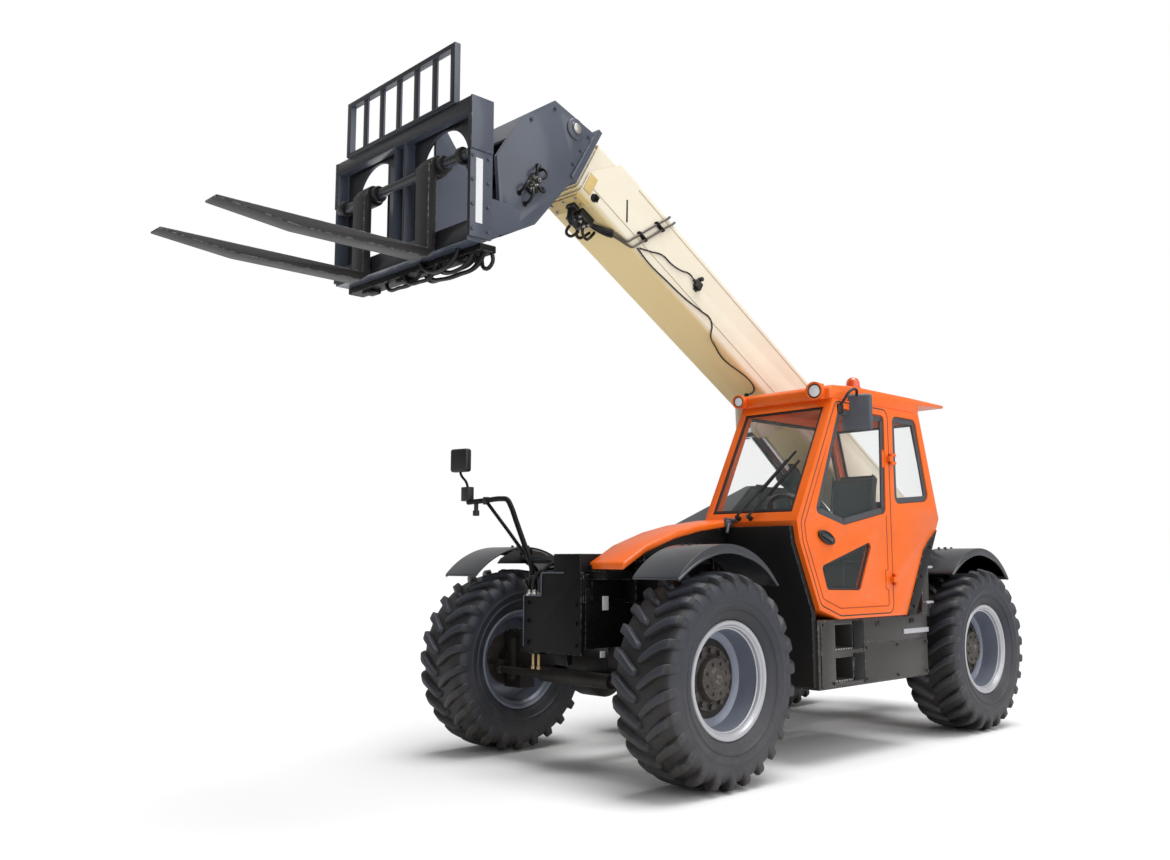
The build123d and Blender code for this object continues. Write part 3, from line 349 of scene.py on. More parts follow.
def pane_glass(name, colour, clear):
    """A thin pane; clear is how little shows of it when looked at straight on."""
    made = bpy.data.materials.new(name)
    made.use_nodes = True
    tree = made.node_tree
    shader = tree.nodes["Principled BSDF"]
    turned_away = add(tree, "ShaderNodeLayerWeight", Blend=0.5).outputs["Facing"]
    tree.links.new(ramp(tree, turned_away, 0.5, 1.0, 1 - clear, 0.9), shader.inputs["Alpha"])
    tree.links.new(ramp(tree, noise(tree, 2.2, 5.0), 0.45, 0.75, 0.02, 0.08), shader.inputs["Roughness"])
    shader.inputs["Base Color"].default_value = (*colour, 1)
    shader.inputs["Specular IOR Level"].default_value = 0.8
    return made


glass = pane_glass("safety_glass", (0.42, 0.5, 0.5), 0.95)
mirror_face = finish("mirror_face", (0.75, 0.78, 0.8), 0.06, metal=1.0, dust=0.0, mottle=0.02, bump=0.00001)

# %% [markdown]
# ## Building shapes
# A `Shape` gathers simple solids drawn in one local space: boxes, side-view prisms, turned pieces and
# rods. When it is finished, it is moved into place, its sharp edges are rounded, and it rides on the
# body that carries it.

# %% Shape helper


finished = []


def tell(title):
    """Prints how many pieces were finished since the last call, and the last one's name."""
    print(f"{title}: {len(finished)} pieces, the last is {finished[-1]}")
    finished.clear()


WELD = 1e-5  # points nearer than this are one


def welded(node):
    """An editable copy of a CAD node's mesh with its doubled points merged."""
    bm = bmesh.new()
    bm.from_mesh(nodes[node].data)
    bmesh.ops.remove_doubles(bm, verts=bm.verts[:], dist=WELD)
    return bm


def as_mesh(bm, name):
    """A plain mesh from an editable one, which is freed."""
    mesh = bpy.data.meshes.new(name)
    bm.to_mesh(mesh)
    bm.free()
    return mesh


def put_in_scene(name, mesh):
    """A new object for a mesh, in the scene."""
    made = bpy.data.objects.new(name, mesh)
    bpy.context.scene.collection.objects.link(made)
    return made


def settle(made):
    """A plain mesh object from an object with modifiers or a curve; the old object goes."""
    graph = bpy.context.evaluated_depsgraph_get()
    mesh = bpy.data.meshes.new_from_object(made.evaluated_get(graph), depsgraph=graph)
    mesh.transform(made.matrix_world)
    label = made.name
    bpy.data.objects.remove(made)
    mesh.name = label
    return put_in_scene(label, mesh)


def mark_edges(mesh, width):
    """Gives each face an attribute: 1 where it is a narrow strip, as on a rounded edge, and 0 elsewhere."""
    strips = mesh.attributes.new("edge", "FLOAT", "FACE")
    points = mesh.vertices
    for face in mesh.polygons:
        ring = [points[index].co for index in face.vertices]
        around = sum((ring[k] - ring[k - 1]).length for k in range(len(ring)))
        strips.data[face.index].value = float(2 * face.area < width * around)


def dress(made, body, material=None, stands_for=(), sharp=38, width=0.004):
    """Gives a finished mesh its material and shading and lets it ride on its body."""
    if material:
        made.data.materials.clear()
        made.data.materials.append(material)
    mark_edges(made.data, width)
    made.data.shade_smooth()
    made.data.set_sharp_from_angle(angle=radians(sharp))
    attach(made, body)
    if stands_for:
        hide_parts(*stands_for)
    finished.append(made.name)
    return made


def rounded(made, width, segments=2, angle=32):
    """Rounds a mesh object's sharp edges and returns the plain result."""
    if width <= 0:
        return made
    edge = made.modifiers.new("edges", "BEVEL")
    edge.width = width
    edge.segments = segments
    edge.limit_method = "ANGLE"
    edge.angle_limit = radians(angle)
    edge.use_clamp_overlap = True
    return settle(made)


def merged(name, pieces):
    """One mesh object from several that have the same material."""
    bm = bmesh.new()
    for piece in pieces:
        bm.from_mesh(piece.data)
    mesh = as_mesh(bm, name)
    for piece in pieces:
        bpy.data.objects.remove(piece)
    return put_in_scene(name, mesh)


class Shape:
    """Simple solids drawn in one local space."""

    def __init__(self, place=SIDE):
        self.bm = bmesh.new()
        self.place = place

    def box(self, x, y, z):
        """A box between two stations on each axis."""
        made = bmesh.ops.create_cube(self.bm, size=1)["verts"]
        size = Matrix.Diagonal((x[1] - x[0], y[1] - y[0], z[1] - z[0], 1))
        middle = Matrix.Translation(((x[0] + x[1]) / 2, (y[0] + y[1]) / 2, (z[0] + z[1]) / 2))
        bmesh.ops.transform(self.bm, matrix=middle @ size, verts=made)

    def prism(self, outline, y):
        """A side-view outline of (x, z) pairs carried between two Y stations."""
        near = [self.bm.verts.new((px, y[0], pz)) for px, pz in outline]
        far = [self.bm.verts.new((px, y[1], pz)) for px, pz in outline]
        count = len(outline)
        self.bm.faces.new(near)
        self.bm.faces.new(far[::-1])
        for k in range(count):
            self.bm.faces.new((near[k], far[k], far[(k + 1) % count], near[(k + 1) % count]))

    def rod(self, start, end, radius, sides=24):
        """A round bar between two points."""
        start, end = Vector(start), Vector(end)
        run = end - start
        made = bmesh.ops.create_cone(
            self.bm, cap_ends=True, segments=sides, radius1=radius, radius2=radius, depth=run.length
        )["verts"]
        turn = run.to_track_quat("Z", "Y").to_matrix().to_4x4()
        bmesh.ops.transform(self.bm, matrix=Matrix.Translation((start + end) / 2) @ turn, verts=made)

    def turned(self, profile, centre, axis=(0, 1, 0), sides=64):
        """A closed profile of (along, radius) pairs turned round an axis."""
        turn = Vector(axis).to_track_quat("Z", "Y").to_matrix().to_4x4()
        move = Matrix.Translation(centre) @ turn
        rings = []
        for k in range(sides):
            angle = 2 * pi * k / sides
            rings.append(
                [self.bm.verts.new(move @ Vector((r * cos(angle), r * sin(angle), a))) for a, r in profile]
            )
        for k in range(sides):
            ring, after = rings[k], rings[(k + 1) % sides]
            for i in range(len(profile)):
                j = (i + 1) % len(profile)
                if profile[i][1] or profile[j][1]:
                    self.bm.faces.new((ring[i], ring[j], after[j], after[i]))
        bmesh.ops.remove_doubles(self.bm, verts=[v for ring in rings for v in ring], dist=1e-6)

    def mesh(self, name):
        """Closes the shape and returns it, in place, as a plain mesh object."""
        bmesh.ops.recalc_face_normals(self.bm, faces=self.bm.faces[:])
        bmesh.ops.transform(self.bm, matrix=self.place, verts=self.bm.verts[:])
        return put_in_scene(name, as_mesh(self.bm, name))

    def finish(self, name, body, material, slot=None, stands_for=(), edge=0.003, segments=2, sharp=38):
        """Closes the shape, places it, rounds its edges and lets it ride on a body."""
        made = rounded(self.mesh(name), edge, segments)
        return dress(made, body, material, stands_for, sharp, edge)


def boxes(name, body, material, sizes, place=SIDE, **how):
    """One piece from several boxes, each given by its stations on X, Y and Z."""
    shape = Shape(place)
    for size in sizes:
        shape.box(*size)
    return shape.finish(name, body, material, **how)


def turned_piece(name, body, material, profile, centre, axis, sides, place=SIDE, **how):
    """One piece turned from a profile round an axis."""
    shape = Shape(place)
    shape.turned(profile, centre, axis, sides)
    return shape.finish(name, body, material, **how)


# %% [markdown]
# ## Rounded copies of the exact solids
# Sheet steel and castings have no knife edges: each catches a thin line of light. A copy of the solid
# is merged, its flat faces are joined, and its edges are rounded. The copy then stands for the solid. A
# pressed panel also gets a raised border, made by insetting its outer face.

# %% Rounded copies


PANEL_REACH = 0.03  # how far beyond its level a panel's face may lie


def panel_faces(bm, outwards, level):
    """The faces that look along outwards and lie just beyond a level."""
    return [
        f for f in bm.faces
        if f.normal.dot(outwards) > 0.99 and 0 < f.calc_center_median().dot(outwards) - level < PANEL_REACH
    ]


def rounded_copy(node, material, edge=0.004, segments=2, press=None):
    """Stands for a CAD node with rounded edges; press is (direction, border, depth, level)."""
    bm = welded(node)
    if not press:
        bmesh.ops.dissolve_limit(
            bm, angle_limit=radians(0.6), verts=bm.verts[:], edges=bm.edges[:], delimit={"NORMAL"}
        )
    else:
        direction, border, depth, level = press
        faces = panel_faces(bm, direction, level)
        bmesh.ops.inset_region(bm, faces=faces, thickness=border, depth=-depth, use_even_offset=True)
    mesh = as_mesh(bm, f"{node}_shell")
    made = rounded(put_in_scene(mesh.name, mesh), edge, segments)
    return dress(made, nodes[node]["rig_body"], material, (node,), width=edge)


# %% [markdown]
# ## Repeats and paths with Geometry Nodes
# What repeats is drawn once and placed by a node tree with named inputs: copies round a wheel's axis,
# bolts on points, and a round profile along a path. Each tree ends in a real mesh with its material,
# and the helper bakes it to plain geometry at once, so nothing is left live on the piece.

# %% Node tree helpers


def geometry_tree(name, inputs):
    """A Geometry Nodes tree with the named inputs, and a function that closes it."""
    tree, given, result = open_group(
        name,
        [("Geometry", "NodeSocketGeometry", None), ("Finish", "NodeSocketMaterial", None), *inputs],
        [("Geometry", "NodeSocketGeometry")],
        "GeometryNodeTree",
    )

    def close(shape):
        real = add(tree, "GeometryNodeRealizeInstances", Geometry=shape)
        dressed = add(
            tree, "GeometryNodeSetMaterial", Geometry=real.outputs[0], Material=given.outputs["Finish"]
        )
        tree.links.new(dressed.outputs[0], result.inputs["Geometry"])
        print("tree", name, "has", len(tree.nodes), "nodes")

    return tree, given.outputs, close


def grow(made, tree, finish_material, **values):
    """Runs a tree on an object with its named inputs set, and returns the plain mesh object."""
    modifier = made.modifiers.new(tree.name, "NODES")
    modifier.node_group = tree
    values["Finish"] = finish_material
    for item in tree.interface.items_tree:
        if item.in_out == "INPUT" and item.name in values:
            modifier[item.identifier] = values[item.name]
    return settle(made)


# %% Tree: copies round the Y axis
round_axis, given, close = geometry_tree("round_axis", [("Count", "NodeSocketInt", 12)])
turn = maths(round_axis, "DIVIDE", 2 * pi, given["Count"])
angle = maths(round_axis, "MULTIPLY", add(round_axis, "GeometryNodeInputIndex").outputs[0], turn)
copies = add(
    round_axis, "GeometryNodeInstanceOnPoints",
    Points=add(round_axis, "GeometryNodePoints", Count=given["Count"]).outputs[0],
    Instance=given["Geometry"],
    Rotation=add(round_axis, "ShaderNodeCombineXYZ", Y=angle).outputs[0],
)
close(copies.outputs[0])

# %% Tree: hexagon bolts on points
bolt_tree, given, close = geometry_tree(
    "bolts_on_points", [("Across", FLOAT, 0.02), ("Direction", "NodeSocketVector", (0, 1, 0))]
)
head_radius = maths(bolt_tree, "DIVIDE", given["Across"], 3 ** 0.5)
head_height = maths(bolt_tree, "MULTIPLY", given["Across"], 0.6)
head = add(bolt_tree, "GeometryNodeMeshCylinder", Vertices=6, Radius=head_radius, Depth=head_height)
washer = add(
    bolt_tree, "GeometryNodeMeshCylinder", Vertices=20,
    Radius=maths(bolt_tree, "MULTIPLY", given["Across"], 0.8),
    Depth=maths(bolt_tree, "MULTIPLY", given["Across"], 0.2),
)
lifted = add(
    bolt_tree, "GeometryNodeTransform", Geometry=head.outputs[0],
    Translation=add(bolt_tree, "ShaderNodeCombineXYZ",
     Z=maths(bolt_tree, "MULTIPLY", head_height, 0.6)).outputs[0],
)
bolt = add(bolt_tree, "GeometryNodeJoinGeometry")
for part in (lifted, washer):
    bolt_tree.links.new(part.outputs[0], bolt.inputs[0])
facing_out = add(
    bolt_tree, "FunctionNodeAlignRotationToVector", {"axis": "Z"}, Vector=given["Direction"]
)
placed = add(
    bolt_tree, "GeometryNodeInstanceOnPoints",
    Points=given["Geometry"], Instance=bolt.outputs[0], Rotation=facing_out.outputs[0],
)
close(placed.outputs[0])

# %% Tree: a round profile along a path
pipe_tree, given, close = geometry_tree(
    "profile_on_path", [("Radius", FLOAT, 0.01), ("Step", FLOAT, 0.02), ("Sides", "NodeSocketInt", 12)]
)
even = add(
    pipe_tree, "GeometryNodeResampleCurve", {"mode": "LENGTH"}, Curve=given["Geometry"],
    Length=given["Step"]
)
ring = add(
    pipe_tree, "GeometryNodeCurvePrimitiveCircle", Resolution=given["Sides"], Radius=given["Radius"]
)
skin = add(
    pipe_tree, "GeometryNodeCurveToMesh", Curve=even.outputs[0], Profile_Curve=ring.outputs[0],
    Fill_Caps=True,
)
close(skin.outputs[0])


# %% Bolts, tubes and gaskets
def bolts(name, body, points, direction, across=0.02, material=None, place=SIDE):
    """Hexagon bolts on points of a local space, all facing one way."""
    mesh = bpy.data.meshes.new(name)
    mesh.from_pydata([place @ Vector(point) for point in points], [], [])
    facing = (place.to_3x3() @ Vector(direction)).normalized()
    made = grow(put_in_scene(name, mesh), bolt_tree, material or zinc, Across=across, Direction=facing)
    return dress(made, body, width=0)


def path(name, points, place=SIDE, closed=False, smooth=True):
    """A curve object through points of a local space."""
    data = bpy.data.curves.new(name, "CURVE")
    data.dimensions = "3D"
    line = data.splines.new("BEZIER" if smooth else "POLY")
    line.use_cyclic_u = closed
    if smooth:
        line.bezier_points.add(len(points) - 1)
        for knot, point in zip(line.bezier_points, points):
            knot.co = place @ Vector(point)
            knot.handle_left_type = knot.handle_right_type = "AUTO"
    else:
        line.points.add(len(points) - 1)
        for knot, point in zip(line.points, points):
            knot.co = (*(place @ Vector(point)), 1)
    made = bpy.data.objects.new(name, data)
    bpy.context.scene.collection.objects.link(made)
    return made


def tube(name, body, points, radius, material, place=SIDE, closed=False, smooth=True, sides=14, step=0.02):
    """A round tube or hose along points, or a gasket when the path is closed."""
    curve = path(name, points, place, closed, smooth)
    made = grow(curve, pipe_tree, material, Radius=radius, Step=step, Sides=sides)
    return dress(made, body, width=0)


def hoses(prefix, body, paths, radius, place=SIDE, **how):
    """One numbered rubber hose for each list of points."""
    for number, points in enumerate(paths):
        tube(f"{prefix}_{number + 1}", body, points, radius, hose_rubber, place, **how)


# %% Rows of copies
row_tree, given, close = geometry_tree(
    "row_of_copies", [("Count", "NodeSocketInt", 5), ("Step", "NodeSocketVector", (0, 0, 0.1))]
)
spots = add(
    row_tree, "GeometryNodeMeshLine", {"mode": "OFFSET"}, Count=given["Count"], Offset=given["Step"]
)
copies = add(
    row_tree, "GeometryNodeInstanceOnPoints", Points=spots.outputs[0], Instance=given["Geometry"]
)
close(copies.outputs[0])


def row(shape, name, body, material, count, step, edge=0.002):
    """Repeats a drawn shape along a straight step and lets the whole row ride on a body."""
    turned_step = shape.place.to_3x3() @ Vector(step)
    first = rounded(shape.mesh(name), edge)
    made = grow(first, row_tree, material, Count=count, Step=turned_step)
    return dress(made, body, material, width=0)


# %% Rubber frames round panes
PANE_SMALLEST = 0.02  # square metres; the panes' own edge faces are far smaller


def spot_key(point):
    """A place as numbers to sort by, blind to differences under a hundredth of a millimetre."""
    return tuple(round(number, 5) for number in point)


def steady(mesh):
    """Puts a mesh's points and faces in an order that depends only on their places."""
    order = sorted(range(len(mesh.vertices)), key=lambda k: spot_key(mesh.vertices[k].co))
    rank = {old: new for new, old in enumerate(order)}
    points = [mesh.vertices[k].co.copy() for k in order]
    rings = []
    for face in mesh.polygons:
        ring = [rank[k] for k in face.vertices]
        first = ring.index(min(ring))
        rings.append(ring[first:] + ring[:first])
    mesh.clear_geometry()
    mesh.from_pydata(points, [], sorted(rings))


def pane_faces(node, middle):
    """Corner loops and normals of a node's large flat faces that look away from a middle point."""
    bm = welded(node)
    bmesh.ops.dissolve_limit(bm, angle_limit=radians(1), verts=bm.verts[:], edges=bm.edges[:])
    found = []
    for face in bm.faces:
        if face.calc_area() > PANE_SMALLEST and face.normal.dot(face.calc_center_median() - middle) > 0:
            found.append(([corner.co.copy() for corner in face.verts], face.normal.copy()))
    bm.free()
    return found


CAB_MIDDLE = SIDE @ Vector((-1.6, 0.72, 1.9))


def pane_seals(name, node, body, width, material, wanted, thick=0.01):
    """A flat rubber frame on the outer face of each of a node's panes that is wanted."""
    bm = bmesh.new()
    for corners, outwards in pane_faces(node, CAB_MIDDLE):
        if not wanted(sum(corners, Vector()) / len(corners), outwards):
            continue
        face = bm.faces.new([bm.verts.new(corner + outwards * 0.0005) for corner in corners])
        face.normal_update()
        bmesh.ops.inset_region(bm, faces=[face], thickness=width, use_even_offset=True, use_boundary=True)
        frame_faces = [f for edge in face.edges for f in edge.link_faces if f is not face]
        bmesh.ops.delete(bm, geom=[face], context="FACES_ONLY")
        lifted = bmesh.ops.extrude_face_region(bm, geom=frame_faces, use_keep_orig=True)["geom"]
        lifted = [item for item in lifted if isinstance(item, bmesh.types.BMVert)]
        bmesh.ops.translate(bm, vec=outwards * thick, verts=lifted)
    bmesh.ops.recalc_face_normals(bm, faces=bm.faces[:])
    mesh = as_mesh(bm, name)
    steady(mesh)
    return dress(rounded(put_in_scene(name, mesh), 0.003), body, material)


# %% [markdown]
# ## Camera, floor and light
# The camera stands at the left front, a little above the axle's height, and looks slightly up at the
# raised boom. The floor is pale and keeps the soft shadow of a wide lamp overhead. Where only the
# camera looks, the world is plain white, so that the machine stands on a clean page.

# %% Camera
SENSOR_MM, LENS_MM = 36, 32.28
CAMERA_SPOT = (AXLE_X + 5.03, 5.163, 1.357)
LOOKS_UP, HEADING = 7.09, -133.63  # degrees above level, and from +X towards +Y
camera_data = bpy.data.cameras.new("camera")
camera_data.sensor_width = SENSOR_MM
camera_data.lens = LENS_MM
camera = bpy.data.objects.new("camera", camera_data)
camera.location = CAMERA_SPOT
camera.rotation_euler = (radians(90 + LOOKS_UP), 0, radians(HEADING - 90))
bpy.context.scene.collection.objects.link(camera)
bpy.context.scene.camera = camera
print("camera at", [round(v, 2) for v in CAMERA_SPOT], "with a lens of", LENS_MM, "mm")

# %% World
SKY_LIGHT, SKY_MIRRORED, SKY_AHEAD = 0.29, 0.55, 0.4  # as light, in reflections, and the share left ahead
world = bpy.data.worlds.new("studio")
world.use_nodes = True
bpy.context.scene.world = world
sky = world.node_tree
background = sky.nodes["Background"]
rays = add(sky, "ShaderNodeLightPath")
seen = maths(sky, "MAXIMUM", rays.outputs["Is Camera Ray"], rays.outputs["Is Transmission Ray"])
lit_sky = ramp(sky, rays.outputs["Is Glossy Ray"], 0.0, 1.0, SKY_LIGHT, SKY_MIRRORED)
direction = add(sky, "ShaderNodeTexCoord").outputs["Generated"]
forward = add(sky, "ShaderNodeSeparateXYZ", Vector=direction).outputs["X"]
lit_sky = maths(sky, "MULTIPLY", lit_sky, ramp(sky, forward, 0.0, 0.9, 1.0, SKY_AHEAD))
sky.links.new(maths(sky, "MAXIMUM", seen, lit_sky), background.inputs["Strength"])
background.inputs["Color"].default_value = (1, 1, 1, 1)

# %% Floor
FLOOR_HALF = 60
FLOOR_BOUNCE, FLOOR_SEEN = (0.76, 0.76, 0.76, 1), (0.9, 0.9, 0.9, 1)
floor_mesh = bpy.data.meshes.new("floor")
corners = [(x * FLOOR_HALF, y * FLOOR_HALF, 0) for x, y in ((-1, -1), (1, -1), (1, 1), (-1, 1))]
floor_mesh.from_pydata(corners, [], [(0, 1, 2, 3)])
floor = put_in_scene("floor", floor_mesh)
floor_paint = bpy.data.materials.new("pale_floor")
floor_paint.use_nodes = True
tree = floor_paint.node_tree
shader = tree.nodes["Principled BSDF"]
shader.inputs["Roughness"].default_value = 1.0
shader.inputs["Specular IOR Level"].default_value = 0.0
looked_at = add(tree, "ShaderNodeLightPath").outputs["Is Camera Ray"]
bounce = mix_colour(tree, looked_at, FLOOR_BOUNCE, FLOOR_SEEN)
tree.links.new(bounce, shader.inputs["Base Color"])
floor_mesh.materials.append(floor_paint)


# %% Lamps of the studio
def sun_lamp(name, towards, strength, softness):
    """A distant soft lamp that shines along a direction; softness is its width in degrees."""
    data = bpy.data.lights.new(name, "SUN")
    data.energy = strength
    data.angle = radians(softness)
    made = bpy.data.objects.new(name, data)
    made.rotation_euler = Vector(towards).to_track_quat("-Z", "Y").to_euler()
    bpy.context.scene.collection.objects.link(made)
    return made


sun_lamp("overhead", (0.1, -0.15, -1.0), 2.6, 40)
sun_lamp("left_side", (-0.06, -1.0, -0.45), 1.75, 75)

bpy.context.scene.view_settings.view_transform = "Standard"
print("lamps:", [lamp.name for lamp in bpy.data.lights])

# %% [markdown]
# ## First coat
# Every exact solid gets its finish. Most get rounded edges as well; glass, turned pieces and what a
# better piece will stand for stay as they are.

# %% Coat the solids
COATS = (
    ("chassis_frame", black_paint, "frame_black", 0.004),
    ("nose_plate", black_paint, "frame_black", 0.004),
    ("counterweight", black_paint, "frame_black", 0.012),
    ("cowl_base", black_paint, "frame_black", 0.006),
    ("front_mudguard", guard_paint, "frame_black", 0.003),
    ("side_box", box_paint, "box_grey", 0.006),
    ("engine_bay", box_paint, "frame_black", 0.002),
    ("hydraulic_tank", black_paint, "frame_black", 0.012),
    ("cab_roof", orange, "orange", 0.012),
    ("cowl", orange, "orange", 0.012),
    ("engine_hood", plastic, "plastic", 0.003),
    ("boom_base", ivory, "cream", 0.003),
    ("boom_mid", ivory, "cream", 0.003),
    ("boom_fly", ivory, "cream", 0.003),
    ("boom_head", slate, "boom_grey", 0.004),
    ("carriage", shaded_carriage_slate, "boom_grey", 0.004),
    ("backrest", shaded_carriage_slate, "boom_grey", 0.003),
    ("fork_left", charcoal, "fork_steel", 0.006),
    ("fork_right", charcoal, "fork_steel", 0.006),
    ("front_axle", casting, "cast", 0.004),
    ("rear_axle", casting, "cast", 0.004),
    ("seat_base", black_plastic, "plastic", 0.02),
    ("dashboard", black_plastic, "plastic", 0.012),
)
for node, material, slot, edge in COATS:
    rounded_copy(node, material, edge)

PLAIN_COATS = {
    "driveline": casting, "front_steering_rod": casting, "rear_steering_rod": casting,
    "lift_barrel": black_paint,
    "tilt_barrel": black_paint, "lift_rod": chrome, "tilt_rod": chrome, "engine": casting,
    "cab_windows": glass,
    "door_windows": glass, "steering_wheel": black_plastic,
}
for name in nodes:
    if name.startswith("knuckle"):
        PLAIN_COATS[name] = casting
    if name.startswith("rim"):
        PLAIN_COATS[name] = silver
    if name.startswith("tyre"):
        PLAIN_COATS[name] = rubber
for name, material in PLAIN_COATS.items():
    nodes[name].data.materials.clear()
    nodes[name].data.materials.append(material)

LEFT = Vector((0, 1, 0))
DOOR_LEVEL = 1.1  # Y just inside the outer face of the door
DOOR_BORDER, DOOR_PRESS = 0.045, 0.008
rounded_copy("cab_frame", orange, 0.01, 3)
rounded_copy("door", orange, 0.008, 3, press=(LEFT, DOOR_BORDER, DOOR_PRESS, DOOR_LEVEL))
tell("coat the solids")

# %% [markdown]
# ## Tyres
# A tractor-type tread has two staggered rows of hooked bars. One bar is drawn as stations along its
# length: where its base and its top lie across the tyre, how far round the wheel, and how wide. Its
# mate on the other half is the same bar mirrored and turned by half a pitch, and the node tree repeats
# the pair round the axle.

# %% Tread bars
LUGS = 26
TREAD_RADIUS = 0.646
# base across and radius, top across and radius, distance round, half width of top and of base
BAR_STATIONS = (
    ((0.006, 0.612), (0.014, 0.641), 0.084, 0.014, 0.022),
    ((0.035, 0.612), (0.038, 0.645), 0.07, 0.022, 0.032),
    ((0.075, 0.611), (0.077, 0.646), 0.04, 0.026, 0.036),
    ((0.115, 0.608), (0.12, 0.645), 0.008, 0.027, 0.038),
    ((0.15, 0.602), (0.163, 0.64), -0.016, 0.028, 0.04),
    ((0.182, 0.588), (0.2, 0.625), -0.033, 0.029, 0.041),
    ((0.207, 0.566), (0.222, 0.596), -0.043, 0.028, 0.04),
    ((0.22, 0.54), (0.229, 0.56), -0.049, 0.024, 0.036),
    ((0.225, 0.515), (0.228, 0.522), -0.052, 0.016, 0.028),
)


def tread_bar(bm, hand):
    """Adds one bar on the half where Y has the sign of hand; the other half's is turned by half a pitch."""
    rows = []
    phase = 0 if hand > 0 else pi / LUGS
    for base, top, ahead, half_top, half_base in BAR_STATIONS:
        corners = ((base, -half_base), (top, -half_top), (top, half_top), (base, half_base))
        row = []
        for (across, radius), shift in corners:
            angle = (ahead + shift) / TREAD_RADIUS + phase
            row.append(bm.verts.new((radius * sin(angle), hand * across, radius * cos(angle))))
        rows.append(row)
    for row, after in zip(rows, rows[1:]):
        for k in range(3):
            bm.faces.new((row[k], row[k + 1], after[k + 1], after[k]))
    bm.faces.new(rows[0])
    bm.faces.new(rows[-1][::-1])


bm = bmesh.new()
for hand in (1, -1):
    tread_bar(bm, hand)
bmesh.ops.recalc_face_normals(bm, faces=bm.faces[:])
bar_pair = as_mesh(bm, "bar_pair")
print("one pair of bars has", len(bar_pair.polygons), "faces")

# %% Tyres
SIDEWALL = (  # across and radius, from the bead out to the crown
    (0.172, 0.3545), (0.186, 0.366), (0.196, 0.385), (0.206, 0.405), (0.213, 0.418), (0.219, 0.421),
    (0.219, 0.43), (0.215, 0.434), (0.221, 0.452), (0.2245, 0.47), (0.2275, 0.473), (0.2275, 0.479),
    (0.2255, 0.482), (0.226, 0.505), (0.224, 0.53), (0.217, 0.555), (0.203, 0.577), (0.181, 0.594),
    (0.15, 0.604), (0.11, 0.609), (0.055, 0.612),
)
BORE = 0.3226
GROOVE_LOW, GROOVE_HIGH = 0.575, 0.614  # radii between which a face lies between the bars


def tyre_carcass(name, centre):
    """The turned carcass with its moulded rings; the bead sits on the rim's barrel."""
    half = [(0.172, BORE), *SIDEWALL]
    profile = half + [(0.0, 0.6125)] + [(-a, r) for a, r in reversed(half)]
    shape = Shape(FLAT)
    shape.turned(profile, centre, sides=4 * LUGS)
    return shape.mesh(name)


for name in [name for name in nodes if name.startswith("tyre")]:
    low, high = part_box(name)
    centre = (low + high) / 2
    centre.z = WHEEL_Z
    body = nodes[name]["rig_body"]
    pair = rounded(put_in_scene(f"{name}_bars", bar_pair.copy()), 0.007, 2, angle=25)
    pair.location = centre
    tread = grow(pair, round_axis, rubber, Count=LUGS)
    carcass = tyre_carcass(f"{name}_carcass", centre)
    tyre = merged(f"{name}_rubber", (tread, carcass))
    # Faces between the bars are marked for the darker groove tone, a painted shade.
    groove_shading_marks = tyre.data.attributes.new("groove_shade", "FLOAT", "FACE")
    for face in tyre.data.polygons:
        arm = face.center - centre
        groove_shading_marks.data[face.index].value = float(GROOVE_LOW < Vector((arm.x, 0, arm.z)).length < GROOVE_HIGH)
    dress(tyre, body, rubber, (name,), sharp=50, width=0)
print("tyre triangles:", sum(len(p.vertices) - 2 for p in tyre.data.polygons))
tell("tyres")

# %% [markdown]
# ## Rims and hubs
# The rim is a turned section with a rounded lip and a stepped seat. The lip is painted silver; the barrel
# and disc take a darker blue-grey, a painted shade deep in the dish. Deep inside sits a brown planetary hub
# with its ring of wheel nuts and a smaller ring of cover bolts, and round it lies a thin black ring of
# painted shade.

# %% Rims and hubs
LIP_PROFILE = (  # across, outwards, and radius
    (0.172, 0.3222), (0.172, 0.354), (0.178, 0.3545), (0.184, 0.35), (0.1855, 0.343), (0.183, 0.33),
    (0.177, 0.324), (0.171, 0.32), (0.168, 0.313), (0.16, 0.309), (0.15, 0.3075), (0.147, 0.3),
    (0.143, 0.3), (0.143, 0.3222),
)
BARREL_PROFILE = (
    (0.146, 0.3222), (0.146, 0.304), (0.12, 0.3), (0.06, 0.296), (0.02, 0.288), (0.006, 0.27),
    (0.0, 0.235), (0.004, 0.205), (0.004, 0.176), (-0.012, 0.176), (-0.016, 0.235), (-0.012, 0.278),
    (0.0, 0.3), (-0.15, 0.302), (-0.168, 0.32), (-0.176, 0.331), (-0.1855, 0.343), (-0.184, 0.35),
    (-0.178, 0.3545), (-0.172, 0.354), (-0.172, 0.3222),
)
HUB_PROFILE = (
    (-0.022, 0.0), (-0.022, 0.185), (0.004, 0.196), (0.018, 0.196), (0.023, 0.19), (0.025, 0.146),
    (0.034, 0.136), (0.07, 0.13), (0.078, 0.124), (0.08, 0.108), (0.084, 0.07), (0.092, 0.062),
    (0.094, 0.03), (0.094, 0.0),
)
# A thin black ring laid on the disc round the hub, in black casting paint: painted shade.
HUB_SHADE_RING = (
    (0.0035, 0.19), (0.0065, 0.192), (0.006, 0.222), (0.0035, 0.24), (0.0005, 0.24), (0.0005, 0.19),
)
WHEEL_NUTS, NUT_RING = 12, 0.168
COVER_BOLTS, COVER_RING = 8, 0.094


def ring_points(count, radius, across, centre, hand, phase=0.0):
    """Points evenly round a wheel's axis, at a distance across it outwards."""
    turns = (2 * pi * (k + phase) / count for k in range(count))
    return [centre + Vector((radius * sin(t), hand * across, radius * cos(t))) for t in turns]


